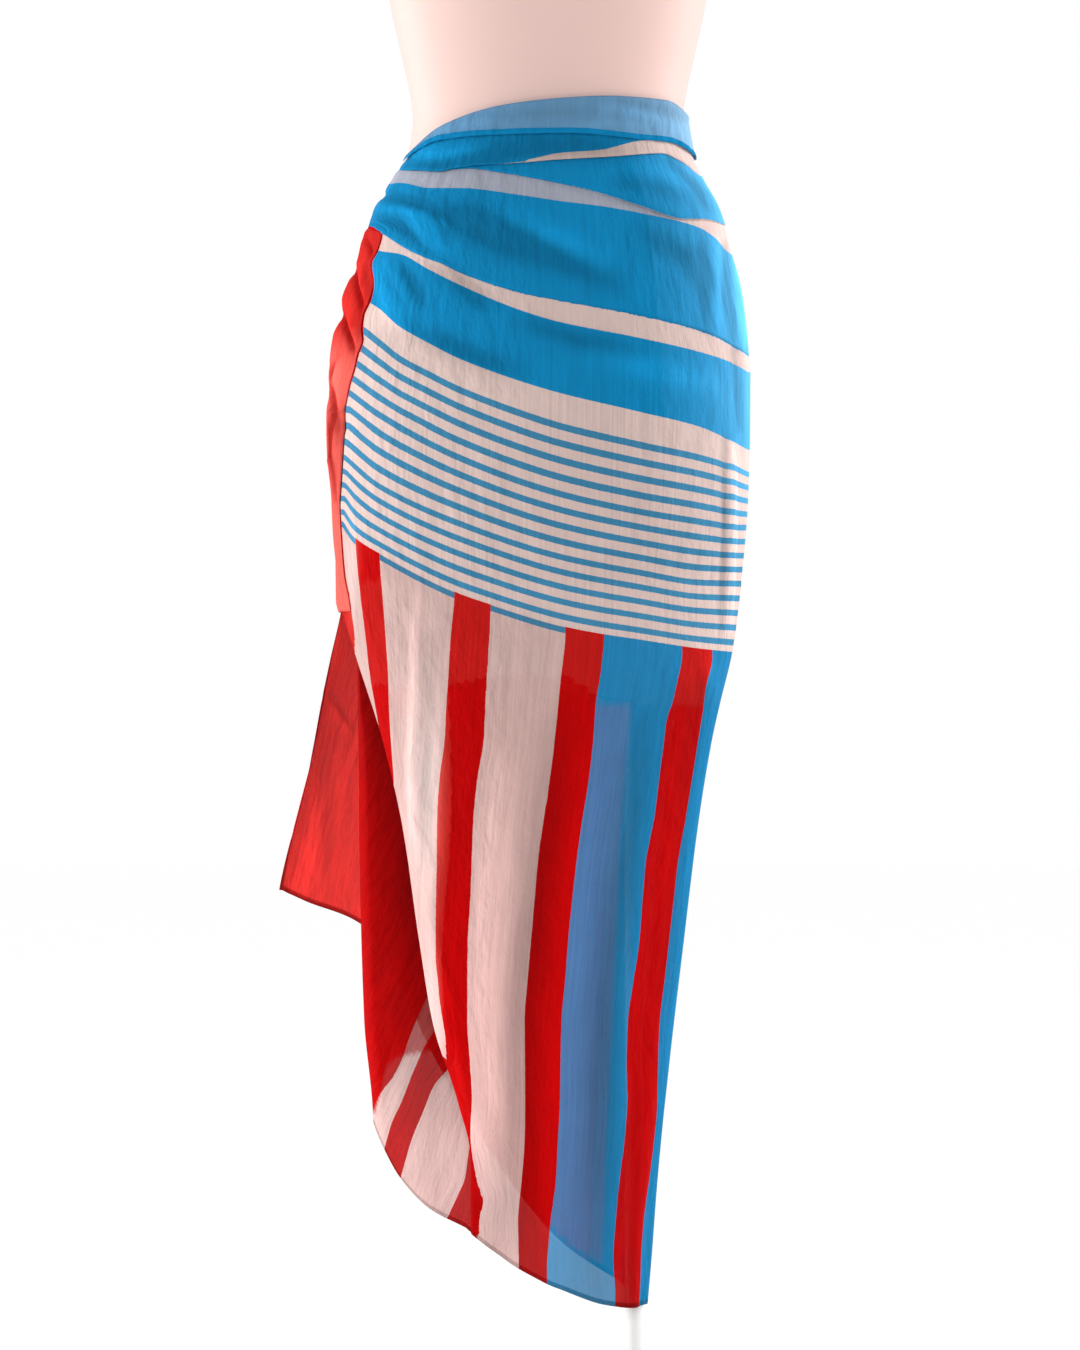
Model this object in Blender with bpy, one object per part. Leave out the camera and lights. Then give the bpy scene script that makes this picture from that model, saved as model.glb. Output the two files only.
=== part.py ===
"""A sarong wound round the hips of a limbless dress form on a stand.

The form is a smooth closed body from the top of the thighs to the neck. It
stands on a slim pole, held in one thigh, over a round base plate. The sarong is
one oblong cloth: it runs round the front and the back, is turned out and down
at the waist, and is knotted behind the wearer's right hip. Its front end hangs
behind the front panel and its back end hangs free as a pointed tail.

Each stretch of cloth is a thin wall, drawn as a plan curve at every height.
Units are metres, +Z is up, the wearer faces -Y, and the origin is the centre of
the underside of the base plate.
"""

import math

import bmesh
import bpy

# Stand
BASE_RADIUS = 0.160
BASE_THICKNESS = 0.010
BASE_EDGE = 0.002
POLE_RADIUS = 0.008
POLE_X = 0.075
SOCKET_RADIUS = 0.019
SOCKET_HEIGHT = 0.032
FLANGE_RADIUS = 0.019
FLANGE_HEIGHT = 0.005
SEAT_GAP = 0.0003
BORE_GAP = 0.0004

# Form
NECK_TOP = 1.650
NECK_CAP_RADIUS = 0.056
NECK_CAP_HEIGHT = 0.012
KNOB_RADIUS = 0.012
KNOB_HEIGHT = 0.026
BODY_POWER = 2.2
BUST_HEIGHT = 1.335
BUST_SPREAD = 0.072
BUST_RISE = 0.024
BUST_RADIUS = 0.078

# height, half width, front depth, back depth of the form
FORM_SECTIONS = [
    (0.600, 0.1430, 0.084, 0.094),
    (0.660, 0.1570, 0.090, 0.106),
    (0.720, 0.1650, 0.095, 0.118),
    (0.790, 0.1710, 0.099, 0.126),
    (0.850, 0.1728, 0.100, 0.125),
    (0.897, 0.1735, 0.100, 0.118),
    (0.940, 0.1685, 0.098, 0.107),
    (0.980, 0.1615, 0.094, 0.097),
    (1.020, 0.1530, 0.089, 0.090),
    (1.045, 0.1460, 0.085, 0.086),
    (1.075, 0.1300, 0.081, 0.082),
    (1.100, 0.1200, 0.078, 0.079),
    (1.122, 0.1175, 0.076, 0.077),
    (1.140, 0.1192, 0.076, 0.076),
    (1.160, 0.1232, 0.077, 0.077),
    (1.193, 0.1308, 0.082, 0.079),
    (1.227, 0.1380, 0.088, 0.083),
    (1.290, 0.1490, 0.099, 0.090),
    (1.340, 0.1520, 0.102, 0.096),
    (1.400, 0.1535, 0.098, 0.100),
    (1.450, 0.1580, 0.087, 0.097),
    (1.485, 0.1600, 0.075, 0.088),
    (1.512, 0.1500, 0.064, 0.076),
    (1.534, 0.1250, 0.057, 0.066),
    (1.554, 0.0930, 0.053, 0.059),
    (1.578, 0.0660, 0.051, 0.054),
    (1.612, 0.0540, 0.051, 0.052),
    (1.650, 0.0520, 0.052, 0.052),
]
FORM_SIDES = 36
FORM_RINGS = 36

# x, height of the form's lower end, arched between the two thighs
FORM_LOWER_END = [
    (-0.150, 0.6275),
    (-0.090, 0.6275),
    (-0.025, 0.6370),
    (0.012, 0.6340),
    (0.052, 0.6150),
    (0.150, 0.6150),
]

# Cloth
CLOTH = 0.0016
CLOTH_EASE = 0.0018
LAYER_GAP = 0.0011
CUFF_WIDTH = 0.033
CUFF_START = -160.0
CUFF_END = 130.0
CUFF_FRONT_TAPER = 75.0
CUFF_BACK_TAPER = 40.0
CUFF_TAPER_PAST = 15.0
HANG_BELOW = 0.720
ROW_SPREAD = 1.35
FRONT_ROWS = 24
BACK_ROWS = 24
COLUMN_ANGLE = 5.0
SIDE_GAP_ANGLE = 0.15

# height, wearer's left half width, front depth, back depth of the hanging cloth
HANG_SECTIONS = [
    (0.080, 0.0840, 0.036, 0.036),
    (0.131, 0.0885, 0.040, 0.040),
    (0.201, 0.0940, 0.045, 0.047),
    (0.305, 0.1050, 0.053, 0.057),
    (0.410, 0.1180, 0.063, 0.070),
    (0.514, 0.1310, 0.075, 0.085),
    (0.584, 0.1425, 0.085, 0.097),
    (0.618, 0.1500, 0.089, 0.103),
    (0.660, 0.1600, 0.093, 0.109),
    (0.720, 0.1680, 0.098, 0.121),
]

# height, x and y of the front panel's edge at the wearer's right
FRONT_EDGE = [
    (0.140, -0.0690, -0.033),
    (0.228, -0.0690, -0.036),
    (0.271, -0.0790, -0.036),
    (0.340, -0.1010, -0.034),
    (0.410, -0.1120, -0.032),
    (0.510, -0.1260, -0.029),
    (0.584, -0.1430, -0.024),
    (0.628, -0.1570, -0.020),
    (0.651, -0.1650, -0.014),
    (0.684, -0.1755, -0.006),
    (0.705, -0.1820, -0.002),
    (0.758, -0.1825, 0.000),
    (0.793, -0.1800, 0.000),
    (0.850, -0.1765, 0.000),
]

# height, left and right x, left and right y of the front end, hanging inside
FALL_SECTIONS = [
    (0.150, -0.1200, -0.0705, -0.022, -0.032),
    (0.228, -0.1500, -0.0705, -0.012, -0.034),
    (0.271, -0.1530, -0.0660, -0.008, -0.026),
    (0.340, -0.1600, -0.0700, -0.005, -0.022),
    (0.480, -0.1640, -0.0880, -0.003, -0.018),
    (0.580, -0.1650, -0.1150, -0.002, -0.014),
    (0.612, -0.1655, -0.1500, -0.002, -0.010),
    (0.650, -0.1660, -0.1630, -0.002, -0.004),
]

# height, x and y of the free edge of the tail
TAIL_EDGE = [
    (0.440, -0.2380, 0.046),
    (0.450, -0.2365, 0.046),
    (0.530, -0.2180, 0.043),
    (0.601, -0.2020, 0.038),
    (0.653, -0.1900, 0.032),
    (0.710, -0.1790, 0.022),
    (0.790, -0.1745, 0.006),
    (0.850, -0.1765, 0.001),
]

# x, height of the cloth's upper edge over the front and over the back
TOP_FRONT = [
    (-0.130, 1.076),
    (-0.118, 1.088),
    (-0.090, 1.107),
    (-0.041, 1.121),
    (0.010, 1.127),
    (0.062, 1.130),
    (0.100, 1.130),
    (0.122, 1.122),
]
TOP_BACK = [
    (-0.150, 1.050),
    (-0.120, 1.060),
    (-0.080, 1.092),
    (-0.030, 1.116),
    (0.040, 1.126),
    (0.122, 1.122),
]

# x, height of the hem over the front, the front end and the back
HEM_FRONT = [
    (-0.075, 0.166),
    (-0.025, 0.130),
    (0.000, 0.116),
    (0.012, 0.1115),
    (0.048, 0.098),
    (0.078, 0.093),
    (0.090, 0.094),
]
HEM_FALL = [
    (-0.154, 0.256),
    (-0.147, 0.240),
    (-0.128, 0.206),
    (-0.102, 0.180),
    (-0.069, 0.163),
]
HEM_BACK = [
    (-0.240, 0.452),
    (-0.216, 0.440),
    (-0.165, 0.418),
    (-0.094, 0.290),
    (-0.024, 0.180),
    (0.017, 0.136),
    (0.056, 0.112),
    (0.084, 0.094),
]

# height, angles before and behind the side, and bulge of the gathers under the knot
GATHER_SECTIONS = [
    (0.765, 2.0, 22.0, 0.0015),
    (0.795, 1.0, 24.0, 0.0080),
    (0.827, 2.0, 27.0, 0.0150),
    (0.862, 6.0, 29.0, 0.0158),
    (0.897, 17.0, 30.0, 0.0146),
    (0.936, 21.0, 31.0, 0.0138),
    (0.966, 23.0, 32.0, 0.0100),
    (1.004, 20.0, 34.0, 0.0028),
    (1.016, 14.0, 35.0, 0.0012),
]
GATHER_COUNT = 4
GATHER_PLAIN = 0.35
GATHER_SWELL = 0.65
GATHER_BACKWARD = 1.2

# Knot, set out from the cloth behind the wearer's right hip
KNOT_HEIGHT = 1.042
KNOT_ANGLE = 140.0
KNOT_BUNDLE_RADIUS = 0.0160
KNOT_BUNDLE_HALF = 0.0240
KNOT_BAND_RADIUS = 0.0176
KNOT_BAND_DEEP = 0.0032
KNOT_BAND_TALL = 0.0078
KNOT_TILT = 24.0


def clear_scene():
    """Removes every object of the open scene."""
    for item in list(bpy.data.objects):
        bpy.data.objects.remove(item, do_unlink=True)


def smooth(rows, index, at):
    """Reads a column of a table at a place, along a curve that never overshoots."""
    keys = [row[0] for row in rows]
    values = [row[index] for row in rows]
    if at <= keys[0]:
        return values[0]
    if at >= keys[-1]:
        return values[-1]
    low = max(k for k in range(len(keys) - 1) if keys[k] <= at)
    steps = [(values[k + 1] - values[k]) / (keys[k + 1] - keys[k]) for k in range(len(keys) - 1)]

    def slope(k):
        before = steps[max(k - 1, 0)]
        after = steps[min(k, len(steps) - 1)]
        if before * after <= 0.0:
            return 0.0
        return 2.0 * before * after / (before + after)

    span = keys[low + 1] - keys[low]
    t = (at - keys[low]) / span
    value = (1.0 + 2.0 * t) * (1.0 - t) ** 2 * values[low]
    value += t * (1.0 - t) ** 2 * span * slope(low)
    value += t * t * (3.0 - 2.0 * t) * values[low + 1]
    value += t * t * (t - 1.0) * span * slope(low + 1)
    return value


def power(value, exponent):
    """Raises a signed number to a power and keeps its sign."""
    return math.copysign(abs(value) ** exponent, value)


def rounded(half_width, depth, angle, grow=0.0):
    """A point on a rounded plan curve, moved out by grow; 0 is the wearer's left, 90 the back."""
    turn = math.radians(angle)
    x = (half_width + grow) * power(math.cos(turn), 2.0 / BODY_POWER)
    y = (depth + grow) * power(math.sin(turn), 2.0 / BODY_POWER)
    return x, y


def form_point(height, angle, grow=0.0):
    """A point on the form, or outside it by grow, without the bust."""
    half_width = smooth(FORM_SECTIONS, 1, height)
    depth = smooth(FORM_SECTIONS, 3 if math.sin(math.radians(angle)) > 0.0 else 2, height)
    return rounded(half_width, depth, angle, grow)


def bust(x, height):
    """How far the bust stands out of the plain section at a place on the front."""
    reach = ((abs(x) - BUST_SPREAD) ** 2 + (height - BUST_HEIGHT) ** 2) / BUST_RADIUS ** 2
    return BUST_RISE * math.exp(-2.0 * reach)


def material(name, colour, roughness, metallic=0.0):
    """A plain Principled material."""
    made = bpy.data.materials.new(name)
    made.use_nodes = True
    shader = made.node_tree.nodes["Principled BSDF"]
    shader.inputs["Base Color"].default_value = (*colour, 1.0)
    shader.inputs["Roughness"].default_value = roughness
    shader.inputs["Metallic"].default_value = metallic
    made.diffuse_color = (*colour, 1.0)
    return made


def add_object(name, mesh, finish):
    """Puts a mesh into the scene as a named object with one material."""
    item = bpy.data.objects.new(name, mesh)
    bpy.context.scene.collection.objects.link(item)
    mesh.materials.append(finish)
    mesh.shade_smooth()
    mesh.set_sharp_from_angle(angle=math.radians(40.0))
    return item


def finish_mesh(name, shape):
    """Turns a bmesh into a mesh with its faces pointing out."""
    bmesh.ops.recalc_face_normals(shape, faces=shape.faces)
    mesh = bpy.data.meshes.new(name)
    shape.to_mesh(mesh)
    shape.free()
    return mesh


def turned(name, profile, finish, centre=(0.0, 0.0), sides=40):
    """Spins a closed or axis-ended profile of (radius, height) about a vertical axis."""
    shape = bmesh.new()
    points = [shape.verts.new((centre[0] + radius, centre[1], height)) for radius, height in profile]
    edges = [shape.edges.new(pair) for pair in zip(points, points[1:])]
    if profile[0][0] > 0.0:
        edges.append(shape.edges.new((points[-1], points[0])))
    bmesh.ops.spin(
        shape,
        geom=points + edges,
        cent=(centre[0], centre[1], 0.0),
        axis=(0.0, 0.0, 1.0),
        angle=2.0 * math.pi,
        steps=sides,
        use_merge=True,
    )
    bmesh.ops.remove_doubles(shape, verts=shape.verts, dist=0.00001)
    return add_object(name, finish_mesh(name, shape), finish)


def grid_faces(shape, rows, closed=False):
    """Joins rows of vertices with quads."""
    for upper, lower in zip(rows, rows[1:]):
        count = len(upper)
        for k in range(count if closed else count - 1):
            after = (k + 1) % count
            shape.faces.new((upper[k], upper[after], lower[after], lower[k]))


def make_form(finish):
    """The form: rings up to the neck, and a lower end arched between the thighs."""
    shape = bmesh.new()
    angles = [360.0 * k / FORM_SIDES for k in range(FORM_SIDES)]

    def lower_end(x):
        return smooth(FORM_LOWER_END, 1, x)

    rings = []
    for share in (0.25, 0.5, 0.75, 0.93):
        plan = [form_point(FORM_SECTIONS[0][0], angle) for angle in angles]
        rings.append([shape.verts.new((x * share, y * share, lower_end(x * share))) for x, y in plan])
    for step in range(FORM_RINGS + 1):
        rise = step / FORM_RINGS
        ring = []
        for angle in angles:
            x, y = form_point(FORM_SECTIONS[0][0], angle)
            bottom = lower_end(x) + 0.004
            height = bottom + (NECK_TOP - bottom) * rise
            x, y = form_point(height, angle)
            if y < 0.0:
                y -= bust(x, height) * min(1.0, -y / 0.05)
            ring.append(shape.verts.new((x, y, height)))
        rings.append(ring)
    grid_faces(shape, rings, closed=True)
    middle = shape.verts.new((0.0, 0.0, lower_end(0.0)))
    for k in range(FORM_SIDES):
        shape.faces.new((rings[0][k], middle, rings[0][(k + 1) % FORM_SIDES]))
    shape.faces.new(rings[-1])
    return add_object("form_torso", finish_mesh("form_torso", shape), finish)


def make_neck_cap(finish):
    """The turned cap with its knob on the neck."""
    foot = NECK_TOP + SEAT_GAP
    top = foot + NECK_CAP_HEIGHT
    profile = [
        (0.0, foot),
        (NECK_CAP_RADIUS, foot),
        (NECK_CAP_RADIUS, top - 0.004),
        (NECK_CAP_RADIUS - 0.006, top),
        (0.007, top + 0.003),
        (0.006, top + 0.009),
        (KNOB_RADIUS, top + 0.015),
        (KNOB_RADIUS * 0.8, top + KNOB_HEIGHT - 0.003),
        (0.0, top + KNOB_HEIGHT),
    ]
    turned("form_neck_cap", profile, finish, sides=32)


def make_stand(plate_finish, pole_finish):
    """The base plate, its socket, the pole and the flange under the thigh."""
    edge = BASE_EDGE
    plate = [
        (0.0, 0.0),
        (BASE_RADIUS - edge, 0.0),
        (BASE_RADIUS, edge),
        (BASE_RADIUS, BASE_THICKNESS - edge),
        (BASE_RADIUS - edge, BASE_THICKNESS),
        (0.0, BASE_THICKNESS),
    ]
    turned("stand_base", plate, plate_finish, sides=64)
    form_end = smooth(FORM_LOWER_END, 1, POLE_X)
    pole_foot = BASE_THICKNESS + SEAT_GAP
    pole_top = form_end - SEAT_GAP
    pole = [(0.0, pole_foot), (POLE_RADIUS, pole_foot), (POLE_RADIUS, pole_top), (0.0, pole_top)]
    turned("stand_pole", pole, pole_finish, centre=(POLE_X, 0.0), sides=20)
    bore = POLE_RADIUS + BORE_GAP
    for name, foot, top, radius, chamfer in (
        ("stand_socket", pole_foot, pole_foot + SOCKET_HEIGHT, SOCKET_RADIUS, 0.004),
        ("stand_flange", pole_top - FLANGE_HEIGHT, pole_top, FLANGE_RADIUS, 0.001),
    ):
        upper = chamfer if name == "stand_socket" else 0.0
        lower = 0.0 if name == "stand_socket" else chamfer
        ring = [
            (bore, foot),
            (radius - lower, foot),
            (radius, foot + lower),
            (radius, top - upper),
            (radius - upper, top),
            (bore, top),
        ]
        turned(name, ring, pole_finish, centre=(POLE_X, 0.0), sides=24)


def wall(name, points, finish):
    """A sheet through rows of points, thickened evenly to both sides."""
    shape = bmesh.new()
    rows = [[shape.verts.new(point) for point in row] for row in points]
    grid_faces(shape, rows)
    mesh = finish_mesh(name, shape)
    item = add_object(name, mesh, finish)
    thick = item.modifiers.new("Thickness", "SOLIDIFY")
    thick.thickness = CLOTH
    thick.offset = 0.0
    thick.use_even_offset = True
    thick.use_quality_normals = True
    return item


def cloth_grow():
    """Distance of the middle of the first layer of cloth from the form."""
    return CLOTH_EASE + CLOTH / 2.0


def front_point(height, angle):
    """A point of the front panel; angle runs from 0 at the wearer's left to -180."""
    turn = math.radians(angle)
    across = power(math.cos(turn), 2.0 / BODY_POWER)
    deep = abs(math.sin(turn)) ** (2.0 / BODY_POWER)
    grow = cloth_grow()
    if height > FRONT_EDGE[-1][0]:
        return form_point(height, angle, grow)
    if height > HANG_BELOW:
        left = smooth(FORM_SECTIONS, 1, height) + grow
        depth = smooth(FORM_SECTIONS, 2, height) + grow
    else:
        left = smooth(HANG_SECTIONS, 1, height)
        depth = smooth(HANG_SECTIONS, 2, height)
    if across > 0.0:
        return left * across, -depth * deep
    edge_x = smooth(FRONT_EDGE, 1, height)
    edge_y = smooth(FRONT_EDGE, 2, height)
    return -edge_x * across, edge_y - (depth + edge_y) * deep


def back_point(height, angle):
    """A point of the back panel; angle runs from 0 at the wearer's left to 180."""
    turn = math.radians(angle)
    across = power(math.cos(turn), 2.0 / BODY_POWER)
    deep = abs(math.sin(turn)) ** (2.0 / BODY_POWER)
    grow = cloth_grow()
    if height > TAIL_EDGE[-1][0]:
        return form_point(height, angle, grow)
    if height > HANG_BELOW:
        left = smooth(FORM_SECTIONS, 1, height) + grow
        depth = smooth(FORM_SECTIONS, 3, height) + grow
    else:
        left = smooth(HANG_SECTIONS, 1, height)
        depth = smooth(HANG_SECTIONS, 3, height)
    if across > 0.0:
        return left * across, depth * deep
    edge_x = smooth(TAIL_EDGE, 1, height)
    edge_y = smooth(TAIL_EDGE, 2, height)
    return -edge_x * across, edge_y + (depth - edge_y) * deep


def meet(line, place, angle, low, high):
    """Height at which a column of a panel reaches a line given as height over x."""
    for _ in range(40):
        middle = (low + high) / 2.0
        if middle > smooth(line, 1, place(middle, angle)[0]):
            high = middle
        else:
            low = middle
    return (low + high) / 2.0


def panel(place, angles, top_line, hem_line, heights):
    """Rows of points of a panel between its upper edge and its hem."""
    tops = [meet(top_line, place, angle, 0.9, 1.2) for angle in angles]
    hems = [meet(hem_line, place, angle, 0.05, 0.6) for angle in angles]
    rows = []
    for share in heights:
        row = []
        for angle, top, hem in zip(angles, tops, hems):
            height = top + (hem - top) * share
            x, y = place(height, angle)
            row.append((x, y, height))
        rows.append(row)
    return rows


def make_front(finish):
    """The front panel, from the wearer's left side to its edge at the right hip."""
    angles = [-SIDE_GAP_ANGLE] + [-COLUMN_ANGLE * k for k in range(1, 37)]
    heights = [(k / FRONT_ROWS) ** ROW_SPREAD for k in range(FRONT_ROWS + 1)]
    wall("wrap_front", panel(front_point, angles, TOP_FRONT, HEM_FRONT, heights), finish)


def make_back(finish):
    """The back panel with the tail, from the wearer's left side round to its free edge."""
    angles = [SIDE_GAP_ANGLE] + [COLUMN_ANGLE * k for k in range(1, 36)] + [180.0 - SIDE_GAP_ANGLE]
    heights = [(k / BACK_ROWS) ** ROW_SPREAD for k in range(BACK_ROWS + 1)]
    wall("wrap_back", panel(back_point, angles, TOP_BACK, HEM_BACK, heights), finish)


def make_fall(finish):
    """The front end of the cloth, hanging inside and below the front panel."""
    columns = 12
    rows_count = 16
    rows = []
    for j in range(rows_count + 1):
        row = []
        for k in range(columns + 1):
            across = k / columns
            low = 0.15
            high = 0.30
            for _ in range(40):
                middle = (low + high) / 2.0
                left = smooth(FALL_SECTIONS, 1, middle)
                right = smooth(FALL_SECTIONS, 2, middle)
                if middle > smooth(HEM_FALL, 1, left + (right - left) * across):
                    high = middle
                else:
                    low = middle
            height = FALL_SECTIONS[-1][0] + (low - FALL_SECTIONS[-1][0]) * j / rows_count
            left = smooth(FALL_SECTIONS, 1, height)
            right = smooth(FALL_SECTIONS, 2, height)
            near = smooth(FALL_SECTIONS, 3, height)
            far = smooth(FALL_SECTIONS, 4, height)
            x = left + (right - left) * across
            y = near + (far - near) * math.sin(across * math.pi / 2.0)
            row.append((x, y, height))
        rows.append(row)
    wall("wrap_fall", rows, finish)


def make_gathers(finish):
    """The gathered strip that comes out under the knot over the wearer's right hip."""
    columns = 28
    rows_count = 11
    top = GATHER_SECTIONS[-1][0]
    bottom = GATHER_SECTIONS[0][0]
    least = cloth_grow() + CLOTH + LAYER_GAP
    rows = []
    for j in range(rows_count + 1):
        height = top + (bottom - top) * j / rows_count
        first = smooth(GATHER_SECTIONS, 1, height)
        last = smooth(GATHER_SECTIONS, 2, height)
        bulge = smooth(GATHER_SECTIONS, 3, height)
        row = []
        for k in range(columns + 1):
            across = k / columns
            angle = -180.0 + first - (first + last) * across
            swell = 0.5 - 0.5 * math.cos(2.0 * math.pi * GATHER_COUNT * across)
            spread = math.sin(math.pi * across) ** 0.6
            x, y = form_point(height, angle % 360.0, least)
            flare = 0.0
            if height < FRONT_EDGE[-1][0]:
                flare = form_point(height, 180.0, cloth_grow())[0] - smooth(FRONT_EDGE, 1, height)
            out = bulge * (GATHER_PLAIN * spread + GATHER_SWELL * swell * spread) + flare
            turn = math.radians(angle)
            row.append((x + out * math.cos(turn), y + out * math.sin(turn) * GATHER_BACKWARD, height))
        rows.append(row)
    wall("side_gathers", rows, finish)


def make_cuff(finish):
    """The band of cloth turned out and down at the waist, narrowing towards the knot."""
    count = round((CUFF_END - CUFF_START) / COLUMN_ANGLE)
    angles = [CUFF_START + COLUMN_ANGLE * k for k in range(count + 1)]
    grow = cloth_grow() + CLOTH + LAYER_GAP
    rows = []
    for share in (0.0, 0.5, 1.0):
        row = []
        for angle in angles:
            line = TOP_FRONT if angle < 0.0 else TOP_BACK
            top = meet(line, front_point if angle < 0.0 else back_point, angle, 0.9, 1.2)
            front_taper = (angle - CUFF_START + CUFF_TAPER_PAST) / CUFF_FRONT_TAPER
            back_taper = (CUFF_END + CUFF_TAPER_PAST - angle) / CUFF_BACK_TAPER
            narrow = min(1.0, front_taper, back_taper)
            height = top + 0.0008 - CUFF_WIDTH * narrow * share
            x, y = form_point(height, angle, grow)
            row.append((x, y, height))
        rows.append(row)
    wall("waist_cuff", rows, finish)


def knot_place():
    """Centre of the knot and the direction in which it stands out of the cloth."""
    x, y = form_point(KNOT_HEIGHT, KNOT_ANGLE)
    before = form_point(KNOT_HEIGHT, KNOT_ANGLE - 1.0)
    after = form_point(KNOT_HEIGHT, KNOT_ANGLE + 1.0)
    along = (after[0] - before[0], after[1] - before[1])
    size = math.hypot(*along)
    out = (along[1] / size, -along[0] / size)
    reach = CLOTH_EASE + CLOTH + LAYER_GAP + KNOT_BAND_RADIUS + KNOT_BAND_DEEP
    return x + out[0] * reach, y + out[1] * reach, math.atan2(out[1], out[0])


def make_knot(finish):
    """The knot: a drawn-in bundle with a band of cloth passed round it."""
    x, y, heading = knot_place()
    shape = bmesh.new()
    bmesh.ops.create_uvsphere(shape, u_segments=20, v_segments=12, radius=1.0)
    for vert in shape.verts:
        waist = 1.0 - 0.12 * math.exp(-((vert.co.z / 0.35) ** 2))
        vert.co.x *= KNOT_BUNDLE_RADIUS * waist
        vert.co.y *= KNOT_BUNDLE_RADIUS * waist
        vert.co.z *= KNOT_BUNDLE_HALF
    core = add_object("knot_bundle", finish_mesh("knot_bundle", shape), finish)
    shape = bmesh.new()
    rows = []
    for k in range(24):
        turn = 2.0 * math.pi * k / 24.0
        ring = []
        for m in range(10):
            roll = 2.0 * math.pi * m / 10.0
            radius = KNOT_BAND_RADIUS + KNOT_BAND_DEEP * math.cos(roll)
            lift = KNOT_BAND_TALL * math.sin(roll)
            ring.append(shape.verts.new((radius * math.cos(turn), radius * math.sin(turn), lift)))
        rows.append(ring)
    rows.append(rows[0])
    grid_faces(shape, rows, closed=True)
    band = add_object("knot_band", finish_mesh("knot_band", shape), finish)
    for item in (core, band):
        item.location = (x, y, KNOT_HEIGHT)
        item.rotation_euler = (math.radians(KNOT_TILT), 0.0, heading)


def main():
    clear_scene()
    pale = material("form_skin", (0.86, 0.72, 0.66), 0.5)
    white = material("stand_white", (0.85, 0.85, 0.85), 0.35)
    blue = material("cloth_blue", (0.03, 0.25, 0.55), 0.85)
    red = material("cloth_red", (0.45, 0.01, 0.01), 0.85)
    make_form(pale)
    make_neck_cap(white)
    make_stand(white, white)
    make_front(blue)
    make_back(red)
    make_fall(red)
    make_gathers(red)
    make_cuff(blue)
    make_knot(red)


main()
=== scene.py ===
# %% [markdown]
# A striped sarong on a dress form, dressed over a measured CAD model.
# The CAD model gives every piece its place and size. This lesson lays real cloth over it: thin
# sheets with their folds, stripes that follow the cloth, a smooth pale form and a painted stand.
# All lengths are in metres, the floor is at height 0 and the camera looks along +Y.

# %% Load the measured model
import bisect
import math
import time

import bmesh
import bpy
from mathutils import Matrix, Vector


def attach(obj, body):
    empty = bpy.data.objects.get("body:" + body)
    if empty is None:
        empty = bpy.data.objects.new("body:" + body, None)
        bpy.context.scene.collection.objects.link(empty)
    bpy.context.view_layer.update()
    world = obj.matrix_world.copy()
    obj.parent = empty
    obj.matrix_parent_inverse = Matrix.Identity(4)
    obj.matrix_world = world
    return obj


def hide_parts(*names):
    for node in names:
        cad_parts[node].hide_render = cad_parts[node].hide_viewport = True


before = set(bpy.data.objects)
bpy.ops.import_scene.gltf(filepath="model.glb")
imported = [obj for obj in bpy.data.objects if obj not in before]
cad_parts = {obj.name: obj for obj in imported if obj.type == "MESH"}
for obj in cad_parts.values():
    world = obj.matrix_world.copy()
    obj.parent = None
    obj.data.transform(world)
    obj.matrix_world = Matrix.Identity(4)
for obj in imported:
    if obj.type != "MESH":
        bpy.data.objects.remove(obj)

started = time.perf_counter()
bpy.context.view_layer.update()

# %% [markdown]
# The camera stands level in front of the form, well back, with a long lens, as a photographer of
# clothes would put it. Knowing where it stands also tells which spot of the cloth each spot of the
# picture shows, so the height of a stripe can be read from the picture and laid on the cloth.

# %% Camera
PICTURE_WIDTH = 1080.0
PICTURE_HEIGHT = 1350.0
PIXEL = 0.00087
CAMERA_X = -0.00696
CAMERA_AWAY = 3.1
CAMERA_HEIGHT = 0.64
SENSOR = 36.0

scene = bpy.context.scene
camera_data = bpy.data.cameras.new("camera")
camera_data.sensor_width = SENSOR
camera_data.lens = SENSOR * CAMERA_AWAY / (PICTURE_HEIGHT * PIXEL)
camera = bpy.data.objects.new("camera", camera_data)
camera.location = (CAMERA_X, -CAMERA_AWAY, CAMERA_HEIGHT)
camera.rotation_euler = (math.radians(90.0), 0.0, 0.0)
scene.collection.objects.link(camera)
scene.camera = camera


def in_picture(x, y, z):
    """Column and row of the picture in which a point of the object shows."""
    reach = PIXEL * (CAMERA_AWAY + y) / CAMERA_AWAY
    column = PICTURE_WIDTH / 2.0 + (x - CAMERA_X) / reach
    row = PICTURE_HEIGHT / 2.0 - (z - CAMERA_HEIGHT) / reach
    return column, row


def height_of_row(row, y=-0.09):
    """Height of a spot that the picture shows in a row, on cloth at depth y."""
    return CAMERA_HEIGHT + (PICTURE_HEIGHT / 2.0 - row) * PIXEL * (CAMERA_AWAY + y) / CAMERA_AWAY


print("lens", round(camera_data.lens, 1), "mm")

# %% [markdown]
# Materials, the world and the floor are made of nodes. This small helper adds them and joins them,
# and lets the numbers that nodes work out be added and multiplied like plain ones.

# %% Nodes


class Number:
    """A number that nodes work out. Plus, minus and times add the nodes that it takes."""

    def __init__(self, wires, socket):
        self.wires = wires
        self.socket = socket

    def __add__(self, other):
        return self.wires.math("ADD", self, other)

    def __mul__(self, other):
        return self.wires.math("MULTIPLY", self, other)

    def __sub__(self, other):
        return self.wires.math("SUBTRACT", self, other)

    def __rsub__(self, other):
        return self.wires.math("SUBTRACT", other, self)

    __rmul__ = __mul__


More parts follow.
